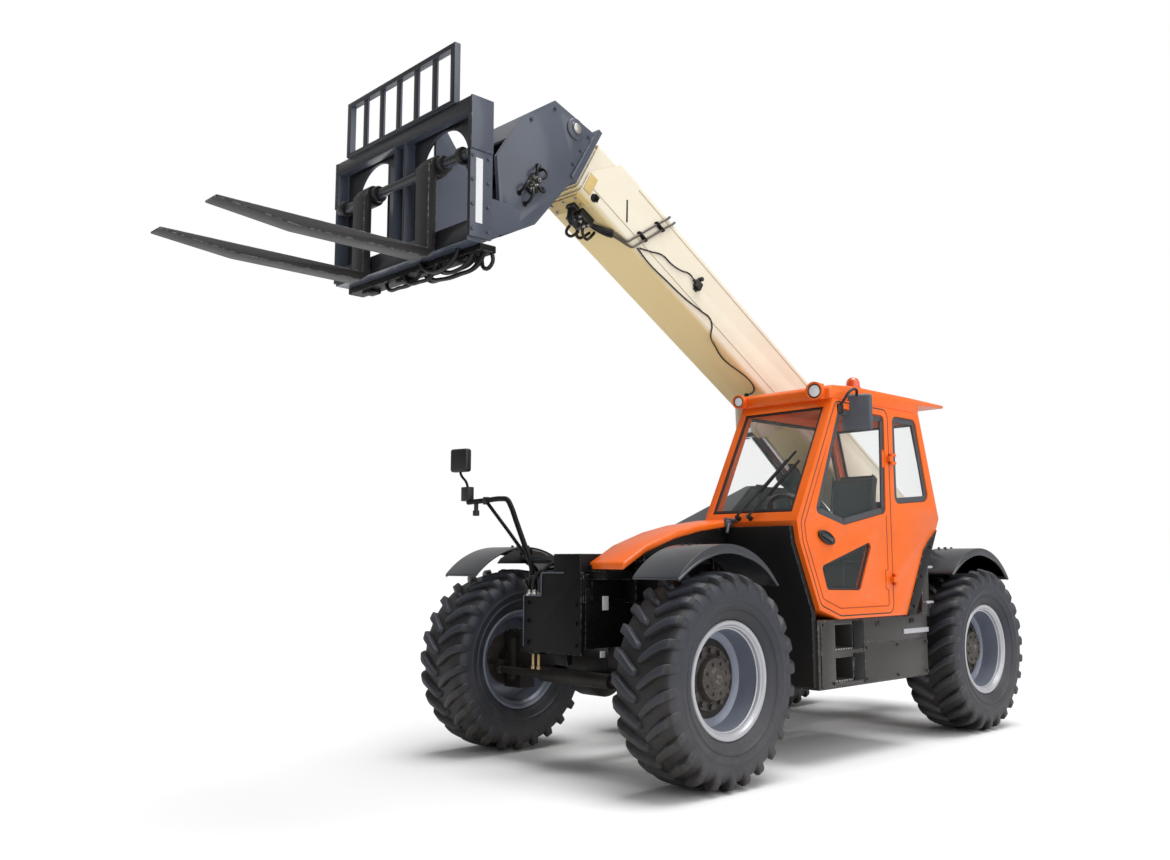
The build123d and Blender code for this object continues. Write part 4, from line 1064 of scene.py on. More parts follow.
for name in [name for name in nodes if name.startswith("rim")]:
    low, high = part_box(name)
    centre = (low + high) / 2
    hand = 1 if centre.y > 0 else -1
    body = nodes[name]["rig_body"]
    for part, profile, sides, paint, look in (
        ("barrel", BARREL_PROFILE, 72, barrel_shaded_silver, {"edge": 0, "slot": "rim", "stands_for": (name,)}),
        ("lip", LIP_PROFILE, 72, silver, {"edge": 0}),
        ("hub", HUB_PROFILE, 48, hub_brown, {"edge": 0.002}),
        ("hub_shade_ring", HUB_SHADE_RING, 48, casting, {"edge": 0}),
    ):
        turned_piece(
            f"{name}_{part}", body, paint, profile, centre, (0, hand, 0), sides, FLAT, sharp=30, **look,
        )
    nuts = ring_points(WHEEL_NUTS, NUT_RING, 0.025, centre, hand)
    bolts(f"{name}_nuts", body, nuts, (0, hand, 0), 0.03, hub_brown, FLAT)
    cover = ring_points(COVER_BOLTS, COVER_RING, 0.08, centre, hand, 0.5)
    bolts(f"{name}_cover_bolts", body, cover, (0, hand, 0), 0.016, hub_brown, FLAT)
    valve = centre + Vector((0.24, hand * 0.012, 0.06))
    tube(
        f"{name}_valve", body, (valve, valve + Vector((0.02, hand * 0.03, 0.004))), 0.005, zinc, FLAT,
        step=0.01,
    )
tell("rims and hubs")

# %% [markdown]
# ## Fenders
# The fenders are thick moulded plastic: broad, matt and soft at every edge. Four bolts in the crown
# hold each one. The outer edge is rolled, and a black liner closes the inner side. Both are drawn as
# pieces of their own, because a rounded copy alone would leave the edge a plain cut.

# %% Fenders
for name in ("front_fenders", "rear_fenders"):
    rounded_copy(name, plastic, 0.006, 3)
    centre_x = -0.02 if name == "front_fenders" else REAR_X
    for hand in (1, -1):
        crown_bolts = [(centre_x + dx, hand * y, 1.4575) for dx in (-0.05, 0.05) for y in (0.8, 0.86)]
        side_name = "left" if hand > 0 else "right"
        bolts(f"{name}_bolts_{side_name}", "chassis", crown_bolts, (0, 0, 1), 0.016, black_plastic)
        rim_line = [
            (centre_x + dx, hand * 1.123, 1.457 - drop * 1.02 - hang)
            for dx, drop, hang in (
                (0.455, 0.194, 0.014), (0.33, 0.105, 0.03), (0.18, 0.033, 0.044), (0.0, 0.0, 0.05),
                (-0.18, 0.031, 0.044), (-0.34, 0.104, 0.03), (-0.495, 0.238, 0.014),
            )
        ]
        tube(f"{name}_rolled_rim_{side_name}", "chassis", rim_line, 0.009, plastic, step=0.03)
        liner = Shape()
        liner.prism(
            [(centre_x + dx, z) for dx, z in (
                (-0.27, 1.335), (0.27, 1.335), (0.24, 1.372), (0.15, 1.418), (0.0, 1.441), (-0.15, 1.418),
                (-0.24, 1.374),
            )],
            sorted((hand * 0.76, hand * 0.768)),
        )
        liner.finish(f"{name}_liner_{side_name}", "chassis", black_plastic, edge=0.002)
tell("fenders")

# %% [markdown]
# ## Cab trim
# What makes a cab look real is its rubber: each pane sits in a dark frame. The door also has a dished
# handle, and the windscreen two wipers. Lamps are turned bowls with a bright lens, the beacon is a ribbed
# amber dome. A seal and a dark orange line, a painted shadow along the pressed border, follow the door's
# own outline, which is read from the solid, so that they fit it exactly.

# %% Seals and door handle
VENT_TOP = 1.6
pane_seals("cab_seals", "cab_windows", "chassis", 0.022, seal_rubber, lambda at, out: out.y < 0.7)
pane_seals(
    "quarter_window_seal", "cab_windows", "chassis", 0.045, window_rubber, lambda at, out: out.y > 0.7,
    0.012,
)
pane_seals(
    "door_window_seal", "door_windows", "cab_door", 0.045, window_rubber, lambda at, out: at.z > VENT_TOP,
    0.012,
)
pane_seals(
    "door_vent_seal", "door_windows", "cab_door", 0.016, seal_rubber, lambda at, out: at.z < VENT_TOP,
)


def panel_outline(node, outwards, level):
    """The longest edge loop round the faces of a node that look along outwards near a level."""
    bm = welded(node)
    panel = set(panel_faces(bm, outwards, level))
    rim_edges = {e for f in panel for e in f.edges if sum(other in panel for other in e.link_faces) == 1}
    loops = []
    while rim_edges:
        # A set has no order of its own, so the start is picked by its place and each run gives the same.
        edge = min(rim_edges, key=lambda e: spot_key(e.verts[0].co + e.verts[1].co))
        rim_edges.discard(edge)
        chain = sorted(edge.verts, key=lambda v: spot_key(v.co))
        while chain[-1] is not chain[0]:
            step = next((e for e in chain[-1].link_edges if e in rim_edges), None)
            if step is None:
                break
            rim_edges.discard(step)
            chain.append(step.other_vert(chain[-1]))
        loops.append([v.co.copy() for v in chain[:-1]])
    bm.free()
    return max(loops, key=lambda loop: sum((loop[k] - loop[k - 1]).length for k in range(len(loop))))


def widened(loop, distance, y):
    """A loop in the XZ plane moved outwards in its plane by a distance, at a given Y."""
    count = len(loop)
    turning = sum(loop[k - 1].x * loop[k].z - loop[k].x * loop[k - 1].z for k in range(count))
    sense = 1 if turning > 0 else -1
    moved = []
    for k in range(count):
        before, here_at, after = loop[k - 1], loop[k], loop[(k + 1) % count]
        runs = [(here_at - before).normalized(), (after - here_at).normalized()]
        sides = [Vector((run.z, 0, -run.x)) * sense for run in runs]
        miter = (sides[0] + sides[1]) / (1 + sides[0].dot(sides[1]))
        at = here_at + miter * distance
        moved.append((at.x, y, at.z))
    return moved


door_edge = panel_outline("door", LEFT, DOOR_LEVEL)
door_face = door_edge[0].y
tube(
    "door_gap_seal", "cab_door", widened(door_edge, 0.003, 1.116), 0.0058, seal_rubber, FLAT, True, False,
    8,
)
# A dark orange line inside the pressed border: a painted shadow line.
tube(
    "door_panel_shadow_line", "cab_door", widened(door_edge, -0.048, door_face - DOOR_PRESS), 0.0035,
    orange_shadow, FLAT, True, False, 8,
)
print("door outline:", len(door_edge), "corners at", round(door_face, 4))
HANDLE = (-1.085, 1.121, 1.512)
tilt = Matrix.Rotation(radians(-18), 4, "Y")
squash = Matrix.Diagonal((1, 1, 0.42, 1))
dish = Shape(SIDE @ Matrix.Translation(HANDLE) @ tilt @ squash)
dish.turned(
    [(-0.004, 0.0), (-0.004, 0.098), (0.007, 0.098), (0.011, 0.092), (0.01, 0.08), (0.003, 0.07),
     (0.001, 0.0)],
    (0, 0, 0), sides=48,
)
dish.finish("door_handle_dish", "cab_door", black_plastic, edge=0)
lever = Shape(SIDE @ Matrix.Translation(HANDLE) @ tilt)
lever.box((-0.065, 0.045), (0.001, 0.014), (-0.012, 0.014))
lever.rod((0.058, 0.0, 0), (0.058, 0.014, 0), 0.011)
lever.finish("door_handle_lever", "cab_door", plastic, edge=0.004)
tell("seals and door handle")

# %% Wipers
SCREEN_OUT = Vector((0.8775, 0, 0.4796))


def on_screen(y, z, proud):
    """A point in front of the windscreen at a height."""
    return Vector((-0.745 - (z - 1.62) * 0.5465, y, z)) + SCREEN_OUT * proud


for number, (foot, tip) in enumerate((((0.64, 1.64), (0.953, 2.101)), ((0.74, 1.64), (1.005, 2.03)))):
    label = f"wiper_{number + 1}"
    arm = [on_screen(*foot, 0.01), on_screen(*foot, 0.03)]
    for share in (0.12, 0.5, 0.86):
        y, z = (foot[k] + (tip[k] - foot[k]) * share for k in (0, 1))
        arm.append(on_screen(y, z, 0.034 - 0.014 * share))
    tube(f"{label}_arm", "chassis", arm, 0.0085, black_plastic, sides=8)
    blade_ends = [
        on_screen(foot[0] + (tip[0] - foot[0]) * t, foot[1] + (tip[1] - foot[1]) * t,
         0.013) for t in (0.38, 1.0)
    ]
    tube(f"{label}_blade", "chassis", blade_ends, 0.0095, seal_rubber, smooth=False, sides=6)
    hub = Shape()
    hub.rod(on_screen(*foot, -0.002), on_screen(*foot, 0.038), 0.017)
    hub.finish(f"{label}_hub", "chassis", black_plastic, edge=0.003)
tell("wipers")

# %% Lamps and beacon
LAMP_BOWL = [
    (-0.062, 0.0), (-0.062, 0.022), (-0.05, 0.034), (-0.012, 0.047), (0.006, 0.05), (0.01, 0.048),
    (0.008, 0.044), (0.004, 0.0),
]
LAMP_LENS = [(0.002, 0.0), (0.002, 0.0435), (0.007, 0.0435), (0.013, 0.03), (0.015, 0.0)]
LAMP_RING = [(-0.02, 0.05), (-0.02, 0.064), (0.016, 0.066), (0.016, 0.052)]
LAMP_AXIS = (1, 0.12, -0.06)
ROOF_LAMPS = ((-1.142, 1.02, 2.535, 1.0), (-1.142, 0.352, 2.53, 0.78))  # place and size
bowl_shape, lens_shape, brackets = Shape(), Shape(), Shape()
for x, y, z, size in ROOF_LAMPS:
    for shape, profile in ((bowl_shape, LAMP_BOWL), (lens_shape, LAMP_LENS), (brackets, LAMP_RING)):
        shape.turned([(a * size, r * size) for a, r in profile], (x, y, z), LAMP_AXIS, sides=32)
    brackets.box(
        (x - 0.05, x - 0.018), (y - 0.045 * size, y + 0.045 * size), (z - 0.06 * size, z + 0.052 * size),
    )
for y in (0.58, -0.58):
    lens_shape.box((REAR_X - 0.998, REAR_X - 0.985), (y - 0.07, y + 0.07), (0.995, 1.065))
    bowl_shape.box((REAR_X - 0.988, REAR_X - 0.8), (y - 0.085, y + 0.085), (0.985, 1.078))
bowl_shape.finish("lamp_bowls", "chassis", black_plastic, edge=0.003)
lens_shape.finish("lamp_lenses", "chassis", white_lens, "lamp", ("lamps",), edge=0.002)
brackets.finish("lamp_brackets", "chassis", orange, edge=0.003)
turned_piece(
    "beacon_dome", "chassis", amber_lens,
    [(0.0, 0.0), (0.0, 0.056), (0.012, 0.058), (0.012, 0.05), (0.024, 0.051), (0.03, 0.049), (0.038, 0.05),
     (0.046, 0.048), (0.054, 0.048), (0.064, 0.044), (0.078, 0.036), (0.087, 0.02), (0.09, 0.0)],
    (-1.7, 0.98, 2.614), (0, 0, 1), 40, slot="beacon", stands_for=("beacon",), edge=0,
)
turned_piece(
    "beacon_foot", "chassis", black_plastic,
    [(0.0, 0.0), (0.0, 0.066), (0.012, 0.064), (0.018, 0.052), (0.018, 0.0)],
    (-1.7, 0.98, 2.598), (0, 0, 1), 40, edge=0,
)
tell("lamps and beacon")

# %% Door mirror
def mirror(name, body, spot, turn, shell, pane, paint, node, edge):
    """A mirror turned about Z; shell and pane are X stations, half width and half height."""
    place = SIDE @ Matrix.Translation(spot) @ Matrix.Rotation(radians(turn), 4, "Z")
    shell_look = {"slot": "plastic", "stands_for": (node,), "edge": edge, "segments": 4}
    for part, (depth, wide, high), material, look in (
        ("shell", shell, paint, shell_look), ("glass", pane, mirror_face, {"edge": 0.002}),
    ):
        boxes(f"{name}_{part}", body, material, [(depth, (-wide, wide), (-high, high))], place, **look)


# The door mirror's shell takes the lighter grey: painted light.
mirror(
    "door_mirror", "cab_door", (-1.47, 1.15, 2.405), 28, ((-0.03, 0.03), 0.105, 0.13),
    ((-0.034, -0.028), 0.088, 0.112), lit_mirror_grey, "cab_mirror", 0.024,
)
tube(
    "door_mirror_arm", "cab_door",
    ((-1.3, 1.105, 2.42), (-1.3, 1.15, 2.47), (-1.335, 1.185, 2.54), (-1.4, 1.19, 2.555),
     (-1.455, 1.16, 2.52)),
    0.01, black_plastic,
)
boxes("door_mirror_clamp", "cab_door", black_plastic, [
    ((-1.335, -1.265), (1.1, 1.128), (2.385, 2.45)),
], edge=0.005)
tell("door mirror")

# %% [markdown]
# ## Boom fittings
# Oil and wires reach the boom head along the outer section. Two rigid pipes cross its left side and
# turn into hoses at a manifold underneath; two thin cables run back from a sensor. Everything here
# rides on the outer section, so the telescoping sections stay free.

# %% Pipes, hoses and cables on the outer section
SIDE_WALL = 0.2135
for number, shift in enumerate((0.0, 0.06)):
    tube(
        f"boom_pipe_{number + 1}", "boom",
        (
            (3.88 + shift, 0.16, 0.243), (3.895 + shift, 0.2, 0.24), (3.905 + shift, SIDE_WALL, 0.222),
            (3.96 + shift, SIDE_WALL, 0.12), (4.06 + shift, SIDE_WALL, -0.07),
            (4.125 + shift, SIDE_WALL, -0.195), (4.146 + shift, 0.2055, -0.2355),
            (4.185 + shift * 0.9, 0.186 + shift * 0.2, -0.24),
            (4.245 + shift * 0.6, 0.162 + shift * 0.4, -0.24),
            (4.3 + shift * 0.5, 0.136 + shift * 0.5, -0.2405),
        ),
        0.009, pipe_paint, BOOM,
    )
    tube(
        f"manifold_hose_{number + 1}", "boom",
        (
            (4.292 + shift * 0.5, 0.14 + shift * 0.5, -0.2445),
            (4.33 + shift * 0.5, 0.118 + shift * 0.5, -0.256),
            (4.4 + shift * 0.4, 0.085 + shift * 0.2, -0.262),
            (4.46 + shift * 0.2, 0.072 - shift * 0.4, -0.268),
        ),
        0.015, hose_rubber, BOOM,
    )
clips = Shape(BOOM)
for s, n in ((3.975, 0.085), (4.075, -0.105)):
    clips.box((s - 0.014, s + 0.084), (0.2, 0.227), (n - 0.008, n + 0.01))
clips.finish("boom_pipe_clips", "boom", black_paint, edge=0.003)
sensor = Shape(BOOM)
sensor.box((3.435, 3.505), (0.199, 0.232), (-0.04, 0.02))
sensor.rod((3.47, 0.199, 0.045), (3.47, 0.24, 0.045), 0.017)
sensor.rod((3.505, 0.216, -0.01), (3.53, 0.216, -0.006), 0.011)
sensor.box((3.448, 3.492), (0.199, 0.206), (-0.062, -0.036))
sensor.finish("angle_sensor", "boom", black_plastic, edge=0.004)
THIN = 0.2065  # Y of a thin cable on the side wall
UNDERSIDE = -0.2365  # height of one under the boom
tube(
    "sensor_cable", "boom",
    (
        (3.525, 0.216, -0.006), (3.575, THIN, 0.01), (3.66, THIN, -0.03), (3.76, THIN, -0.06),
        (3.88, THIN, -0.072), (3.98, THIN, -0.13), (4.085, THIN, -0.19),
    ),
    0.0052, hose_rubber, BOOM, sides=8,
)
tube(
    "long_cable", "boom",
    (
        (4.105, THIN, -0.205), (3.96, THIN, -0.222), (3.76, THIN, -0.208), (3.52, THIN, -0.186),
        (3.33, THIN, -0.15), (3.225, THIN, -0.135), (3.18, THIN, -0.17), (3.165, THIN, -0.222),
        (3.14, 0.19, UNDERSIDE), (3.02, 0.15, UNDERSIDE), (2.9, 0.125, UNDERSIDE),
        (2.8, 0.135, UNDERSIDE), (2.7, 0.165, UNDERSIDE), (2.6, 0.184, UNDERSIDE),
        (2.5, 0.165, UNDERSIDE), (2.44, 0.11, UNDERSIDE), (2.425, 0.05, UNDERSIDE),
    ),
    0.0052, hose_rubber, BOOM, sides=8,
)
grommet = Shape(BOOM)
grommet.rod((2.424, 0.042, -0.228), (2.424, 0.042, -0.248), 0.017)
grommet.finish("cable_grommet", "boom", seal_rubber, edge=0.004)
# Plates under and beside the boom near the head in the ochre tone: a painted shade of the ivory there.
boxes("shaded_wear_pad_holders", "boom", ochre_shade_paint, [
    ((4.6, 4.708), (-0.155, 0.155), (-0.247, -0.2285)),
    ((4.64, 4.712), (0.198, 0.2085), (-0.205, -0.06)),
    ((4.64, 4.712), (-0.2085, -0.198), (-0.205, -0.06)),
], BOOM, edge=0.003)
bolts(
    "pad_holder_bolts", "boom",
    [(s, y, -0.247) for s in (4.625, 4.685) for y in (-0.12, 0.0, 0.12)], (0, 0, -1), 0.016, zinc, BOOM,
)
slots = Shape(BOOM)
slots.prism(((4.348, 0.036), (4.358, 0.028), (4.28, -0.116), (4.268, -0.108)), (0.196, 0.2035))
slots.rod((4.6, 0.196, -0.19), (4.6, 0.2035, -0.19), 0.03)
slots.box((4.56, 4.605), (0.196, 0.2035), (-0.2, -0.15))
slots.finish("boom_access_slots", "boom", black_paint, edge=0.002)
# Dark ivory strips along the boom's folds: painted shadow lines.
boxes("boom_fold_shadow_lines", "boom", ivory_shadow_line, [
    ((0.6, 4.3), (0.195, 0.2022), (0.176, 0.181)),
    ((0.6, 4.7), (0.195, 0.2022), (-0.142, -0.137)),
], BOOM, edge=0.0)
tell("pipes, hoses and cables on the outer section")

# %% Manifold under the outer section
boxes("boom_manifold", "boom", casting, [
    ((4.455, 4.585), (-0.05, 0.1), (-0.292, -0.228)),
    ((4.6, 4.66), (0.01, 0.09), (-0.276, -0.228)),
], BOOM, edge=0.005)
bolts(
    "manifold_bolts", "boom",
    [(s, y, -0.292) for s in (4.475, 4.565) for y in (-0.035, 0.085)], (0, 0, -1), 0.013, zinc, BOOM,
)
fittings = Shape(BOOM)
for s, y in ((4.485, 0.055), (4.485, 0.01), (4.53, 0.06), (4.555, 0.02), (4.545, -0.02)):
    fittings.rod((s, y, -0.288), (s, y, -0.312), 0.014, 6)
    fittings.rod((s, y, -0.308), (s, y, -0.33), 0.011, 6)
fittings.finish("manifold_fittings", "boom", zinc, edge=0.001)
LOOPS = (
    ((4.485, 0.055, -0.322), (4.47, 0.06, -0.362), (4.43, 0.06, -0.372), (4.395, 0.04, -0.33),
     (4.37, 0.03, -0.25)),
    ((4.485, 0.01, -0.322), (4.48, 0.0, -0.35), (4.44, -0.01, -0.352), (4.41, -0.01, -0.31),
     (4.38, -0.012, -0.248)),
    ((4.53, 0.06, -0.322), (4.545, 0.08, -0.372), (4.59, 0.085, -0.372), (4.625, 0.07, -0.32),
     (4.632, 0.06, -0.27)),
    ((4.555, 0.02, -0.322), (4.57, 0.03, -0.35), (4.61, 0.04, -0.345), (4.63, 0.036, -0.3),
     (4.64, 0.034, -0.27)),
    ((4.545, -0.02, -0.322), (4.53, -0.05, -0.362), (4.48, -0.07, -0.352), (4.44, -0.085, -0.3),
     (4.42, -0.09, -0.248)),
)
hoses("manifold_loop", "boom", LOOPS, 0.011, BOOM, sides=10, step=0.012)
tell("manifold under the outer section")

# %% [markdown]
# ## Boom head
# The head's side plate carries a pin boss with a bright cap and a valve block whose hoses come through
# the plate.

# %% Head details
PIN_ALONG, PIN_UP = 4.987, 0.073
HEAD_FACE = 0.2245
BOSS_PROFILE = [
    (-0.004, 0.0), (-0.004, 0.074), (0.01, 0.074), (0.015, 0.068), (0.017, 0.046), (0.022, 0.042),
    (0.022, 0.0)
]
CAP_PROFILE = [(0.0, 0.0), (0.0, 0.034), (0.006, 0.034), (0.009, 0.03), (0.012, 0.016), (0.012, 0.0)]
boss, caps, strip = Shape(BOOM), Shape(BOOM), Shape(BOOM)
for hand in (1, -1):
    boss.turned(BOSS_PROFILE, (PIN_ALONG, hand * HEAD_FACE, PIN_UP), (0, hand, 0), sides=40)
    caps.turned(CAP_PROFILE, (PIN_ALONG, hand * 0.246, PIN_UP), (0, hand, 0), sides=32)
    strip.prism(
        ((4.822, 0.18), (4.844, 0.176), (4.852, -0.24), (4.832, -0.246)),
        sorted((hand * HEAD_FACE, hand * 0.238)),
    )
boss.finish("head_pin_boss", "fly_section", slate, edge=0)
caps.finish("head_pin_caps", "fly_section", zinc, edge=0)
strip.finish("head_edge_strips", "fly_section", slate, edge=0.004)
HEAD_BOLTS = ((4.868, 0.12), (4.872, -0.02), (4.876, -0.15), (5.19, 0.06), (5.3, -0.16))
for hand in (1, -1):
    bolts(
        f"head_bolts_{'left' if hand > 0 else 'right'}", "fly_section",
        [(s, hand * 0.2265, n) for s, n in HEAD_BOLTS], (0, hand, 0), 0.018, slate, BOOM,
    )
boxes("head_valve_block", "fly_section", casting, [
    ((5.035, 5.115), (0.222, 0.25), (-0.6, -0.47)),
    ((5.015, 5.05), (0.222, 0.243), (-0.56, -0.52)),
], BOOM, edge=0.004)
valves = Shape(BOOM)
for s, n in ((5.055, -0.49), (5.095, -0.5), (5.055, -0.545), (5.095, -0.56), (5.07, -0.59)):
    valves.rod((s, 0.246, n), (s, 0.262, n), 0.014, 6)
    valves.rod((s, 0.26, n), (s, 0.276, n), 0.01, 12)
valves.finish("head_valve_fittings", "fly_section", zinc, edge=0.001)
HEAD_HOSES = (
    ((5.055, 0.27, -0.49), (5.04, 0.286, -0.45), (5.06, 0.27, -0.41), (5.075, 0.222, -0.4)),
    ((5.095, 0.27, -0.5), (5.12, 0.288, -0.47), (5.11, 0.274, -0.42), (5.1, 0.222, -0.395)),
    ((5.055, 0.27, -0.545), (5.01, 0.284, -0.56), (4.99, 0.262, -0.52), (4.99, 0.222, -0.5)),
    ((5.095, 0.27, -0.56), (5.13, 0.286, -0.59), (5.13, 0.27, -0.64), (5.12, 0.222, -0.66)),
    ((5.07, 0.27, -0.59), (5.06, 0.286, -0.64), (5.05, 0.262, -0.675), (5.05, 0.222, -0.69)),
)
hoses("head_hose", "fly_section", HEAD_HOSES, 0.01, BOOM, sides=10, step=0.012)
ports = Shape(BOOM)
for points in HEAD_HOSES:
    s, _, n = points[-1]
    ports.rod((s, 0.224, n), (s, 0.23, n), 0.018, 20)
ports.finish("head_hose_ports", "fly_section", black_paint, edge=0.001)
tell("head details")

# %% [markdown]
# ## Carriage and forks
# The carriage is welded plate: a thick end frame with a boxed top and a blank label strip, collars that
# keep the forks in place on their shaft, and hoses looped under a guard on the lower beam.

# %% Carriage details
ends = Shape()
for hand in (1, -1):
    low, high = sorted((hand * 0.712, hand * 0.727))
    ends.box((1.507, 1.664), (low, high), (3.615, 3.924))
ends.finish("carriage_end_boxes", "fork_carriage", shaded_carriage_slate, edge=0.005)
boxes("carriage_blank_label", "fork_carriage", blank_label, [
    ((1.575, 1.622), (0.7145, 0.7172), (3.2, 3.57)),
], edge=0)
end_bolts = [(x, 0.7155, z) for x in (1.535, 1.645) for z in (3.16, 3.3, 3.44, 3.58)]
bolts("carriage_end_bolts", "fork_carriage", end_bolts, (0, 1, 0), 0.016, slate)
collars = Shape()
for y in (-0.62, -0.445, -0.235, 0.235, 0.445, 0.62):
    collars.turned(
        [(-0.014, 0.031), (-0.014, 0.046), (-0.01, 0.05), (0.01, 0.05), (0.014, 0.046), (0.014, 0.031)],
        (1.64, y, 3.6), (0, 1, 0), sides=32,
    )
collars.finish("fork_shaft_collars", "fork_carriage", charcoal, edge=0)
beam = Shape()
beam.box((1.452, 1.566), (-0.69, 0.69), (3.062, 3.104))
for y in (-0.5, -0.12, 0.14, 0.5):
    beam.box((1.47, 1.552), (y - 0.05, y + 0.05), (3.04, 3.064))
beam.finish("carriage_lower_guard", "fork_carriage", black_paint, edge=0.006)
CARRIAGE_LOOPS = (
    ((1.47, 0.03, 3.07), (1.468, 0.06, 3.03), (1.475, 0.2, 3.005), (1.48, 0.38, 3.0), (1.47, 0.52, 3.02),
     (1.468, 0.56, 3.07)),
    ((1.5, 0.1, 3.07), (1.5, 0.13, 3.025), (1.505, 0.26, 2.99), (1.505, 0.42, 2.985), (1.5, 0.59, 3.01),
     (1.495, 0.64, 3.07)),
    ((1.53, -0.3, 3.07), (1.53, -0.28, 3.03), (1.535, -0.15, 3.01), (1.535, 0.0, 3.015),
     (1.53, 0.09, 3.07)),
    ((1.555, -0.06, 3.07), (1.556, -0.03, 3.02), (1.558, 0.1, 2.995), (1.556, 0.22, 3.01),
     (1.555, 0.26, 3.07)),
    ((1.5, 0.56, 3.105), (1.49, 0.54, 3.06), (1.5, 0.42, 3.02), (1.52, 0.26, 3.03), (1.52, 0.19, 3.105)),
    ((1.545, 0.6, 3.105), (1.55, 0.59, 3.05), (1.55, 0.47, 2.995), (1.555, 0.33, 3.02),
     (1.55, 0.28, 3.105)),
    ((1.48, 0.65, 3.105), (1.47, 0.675, 3.06), (1.475, 0.68, 3.0), (1.48, 0.62, 2.985), (1.485, 0.6, 3.05),
     (1.49, 0.6, 3.105)),
    ((1.59, 0.52, 3.105), (1.595, 0.5, 3.055), (1.59, 0.36, 3.01), (1.585, 0.2, 3.04), (1.58, 0.13, 3.105)),
)
hoses("carriage_hose", "fork_carriage", CARRIAGE_LOOPS, 0.012, sides=10)
tell("carriage details")

# %% [markdown]
# ## Nose
# The nose plate has a welded edge, drawn as a rod in lighter slate paint that is a painted highlight,
# square white reflectors, a bundle of hoses where the mirror arm stands, and two brass-coloured pins that
# hang below.

# %% Nose details
# A lighter slate rod along the black nose plate's edge: a painted highlight.
tube(
    "nose_plate_edge_highlight", "chassis",
    (
        (0.411, -0.277, 0.79), (0.411, -0.277, 1.127), (0.411, -0.103, 1.127), (0.411, -0.097, 1.277),
        (0.411, 0.12, 1.279),
    ),
    0.0055, slate, smooth=False, sides=8,
)
boxes("nose_side_filler", "chassis", black_paint, [
    ((-0.1, 0.332), (0.262, 0.3), (1.1, 1.33)),
    ((0.1, 0.345), (0.262, 0.43), (1.235, 1.292)),
    ((0.29, 0.398), (0.262, 0.288), (1.09, 1.27)),
    ((-0.778, -0.722), (0.292, 0.43), (1.1, 1.56)),
], edge=0.004)
boxes("side_reflectors", "chassis", white_lens, [
    ((0.196, 0.251), (0.3085, 0.3135), (1.04, 1.13)),
    ((0.228, 0.272), (0.3085, 0.3135), (0.742, 0.786)),
], edge=0.002)
bolts(
    "nose_side_bolts", "chassis",
    [(x, 0.3105, z) for x, z in ((0.33, 1.1), (0.33, 0.98), (0.33, 0.86), (0.13, 1.1), (0.13, 0.86),
      (-0.02, 1.1), (-0.02, 0.86))],
    (0, 1, 0), 0.02, black_paint,
)
bolts(
    "nose_front_bolts", "chassis",
    [(0.4105, y, z) for y in (-0.235, 0.235) for z in (0.82, 0.96, 1.08)], (1, 0, 0), 0.02, black_paint,
)
pins = Shape()
for y in (-0.205, -0.15):
    pins.rod((0.385, y, 0.77), (0.385, y, 0.65), 0.0115, 20)
    pins.rod((0.385, y, 0.668), (0.385, y, 0.645), 0.016, 20)
pins.finish("nose_pins", "chassis", brass, edge=0.002)
pin_plate = Shape()
pin_plate.box((0.35, 0.405), (-0.24, -0.115), (0.745, 0.768))
pin_plate.box((0.355, 0.4), (0.02, 0.14), (0.69, 0.765))
pin_plate.rod((0.378, 0.03, 0.715), (0.378, 0.13, 0.715), 0.022)
pin_plate.finish("nose_lower_brackets", "chassis", black_paint, edge=0.003)
NOSE_HOSES = (
    ((0.395, -0.19, 1.128), (0.4, -0.2, 1.19), (0.385, -0.18, 1.26), (0.34, -0.13, 1.3),
     (0.26, -0.09, 1.3), (0.18, -0.06, 1.24)),
    ((0.38, -0.15, 1.128), (0.395, -0.13, 1.2), (0.385, -0.09, 1.3), (0.33, -0.04, 1.345),
     (0.24, -0.01, 1.33), (0.19, -0.005, 1.25)),
    ((0.36, -0.225, 1.128), (0.34, -0.255, 1.22), (0.29, -0.285, 1.265), (0.22, -0.3, 1.23),
     (0.16, -0.296, 1.15)),
    ((0.4, -0.235, 1.128), (0.412, -0.25, 1.175), (0.395, -0.3, 1.215), (0.33, -0.325, 1.205),
     (0.27, -0.318, 1.12), (0.23, -0.3, 1.06)),
    ((0.35, -0.12, 1.128), (0.37, -0.11, 1.21), (0.36, -0.14, 1.27), (0.3, -0.19, 1.29),
     (0.23, -0.22, 1.23)),
)
hoses("nose_hose", "chassis", NOSE_HOSES, 0.0125, sides=10)
unions = Shape()
for points in NOSE_HOSES:
    x, y, z = points[0]
    unions.rod((x, y, z - 0.004), (x, y, z + 0.02), 0.019, 6)
    unions.rod((x, y, z + 0.016), (x, y, z + 0.036), 0.0155, 16)
unions.finish("nose_hose_unions", "chassis", zinc, edge=0.001)
boxes("nose_hose_bracket", "chassis", black_paint, [
    ((0.325, 0.405), (-0.275, -0.235), (1.125, 1.235)),
    ((0.13, 0.4), (-0.29, -0.1), (1.1, 1.132)),
], edge=0.004)
tell("nose details")

# %% [markdown]
# ## Front mirror arm
# A bent tube reaches out past the right tyre, so that the driver can see the blind side; a thin stay
# steadies it.

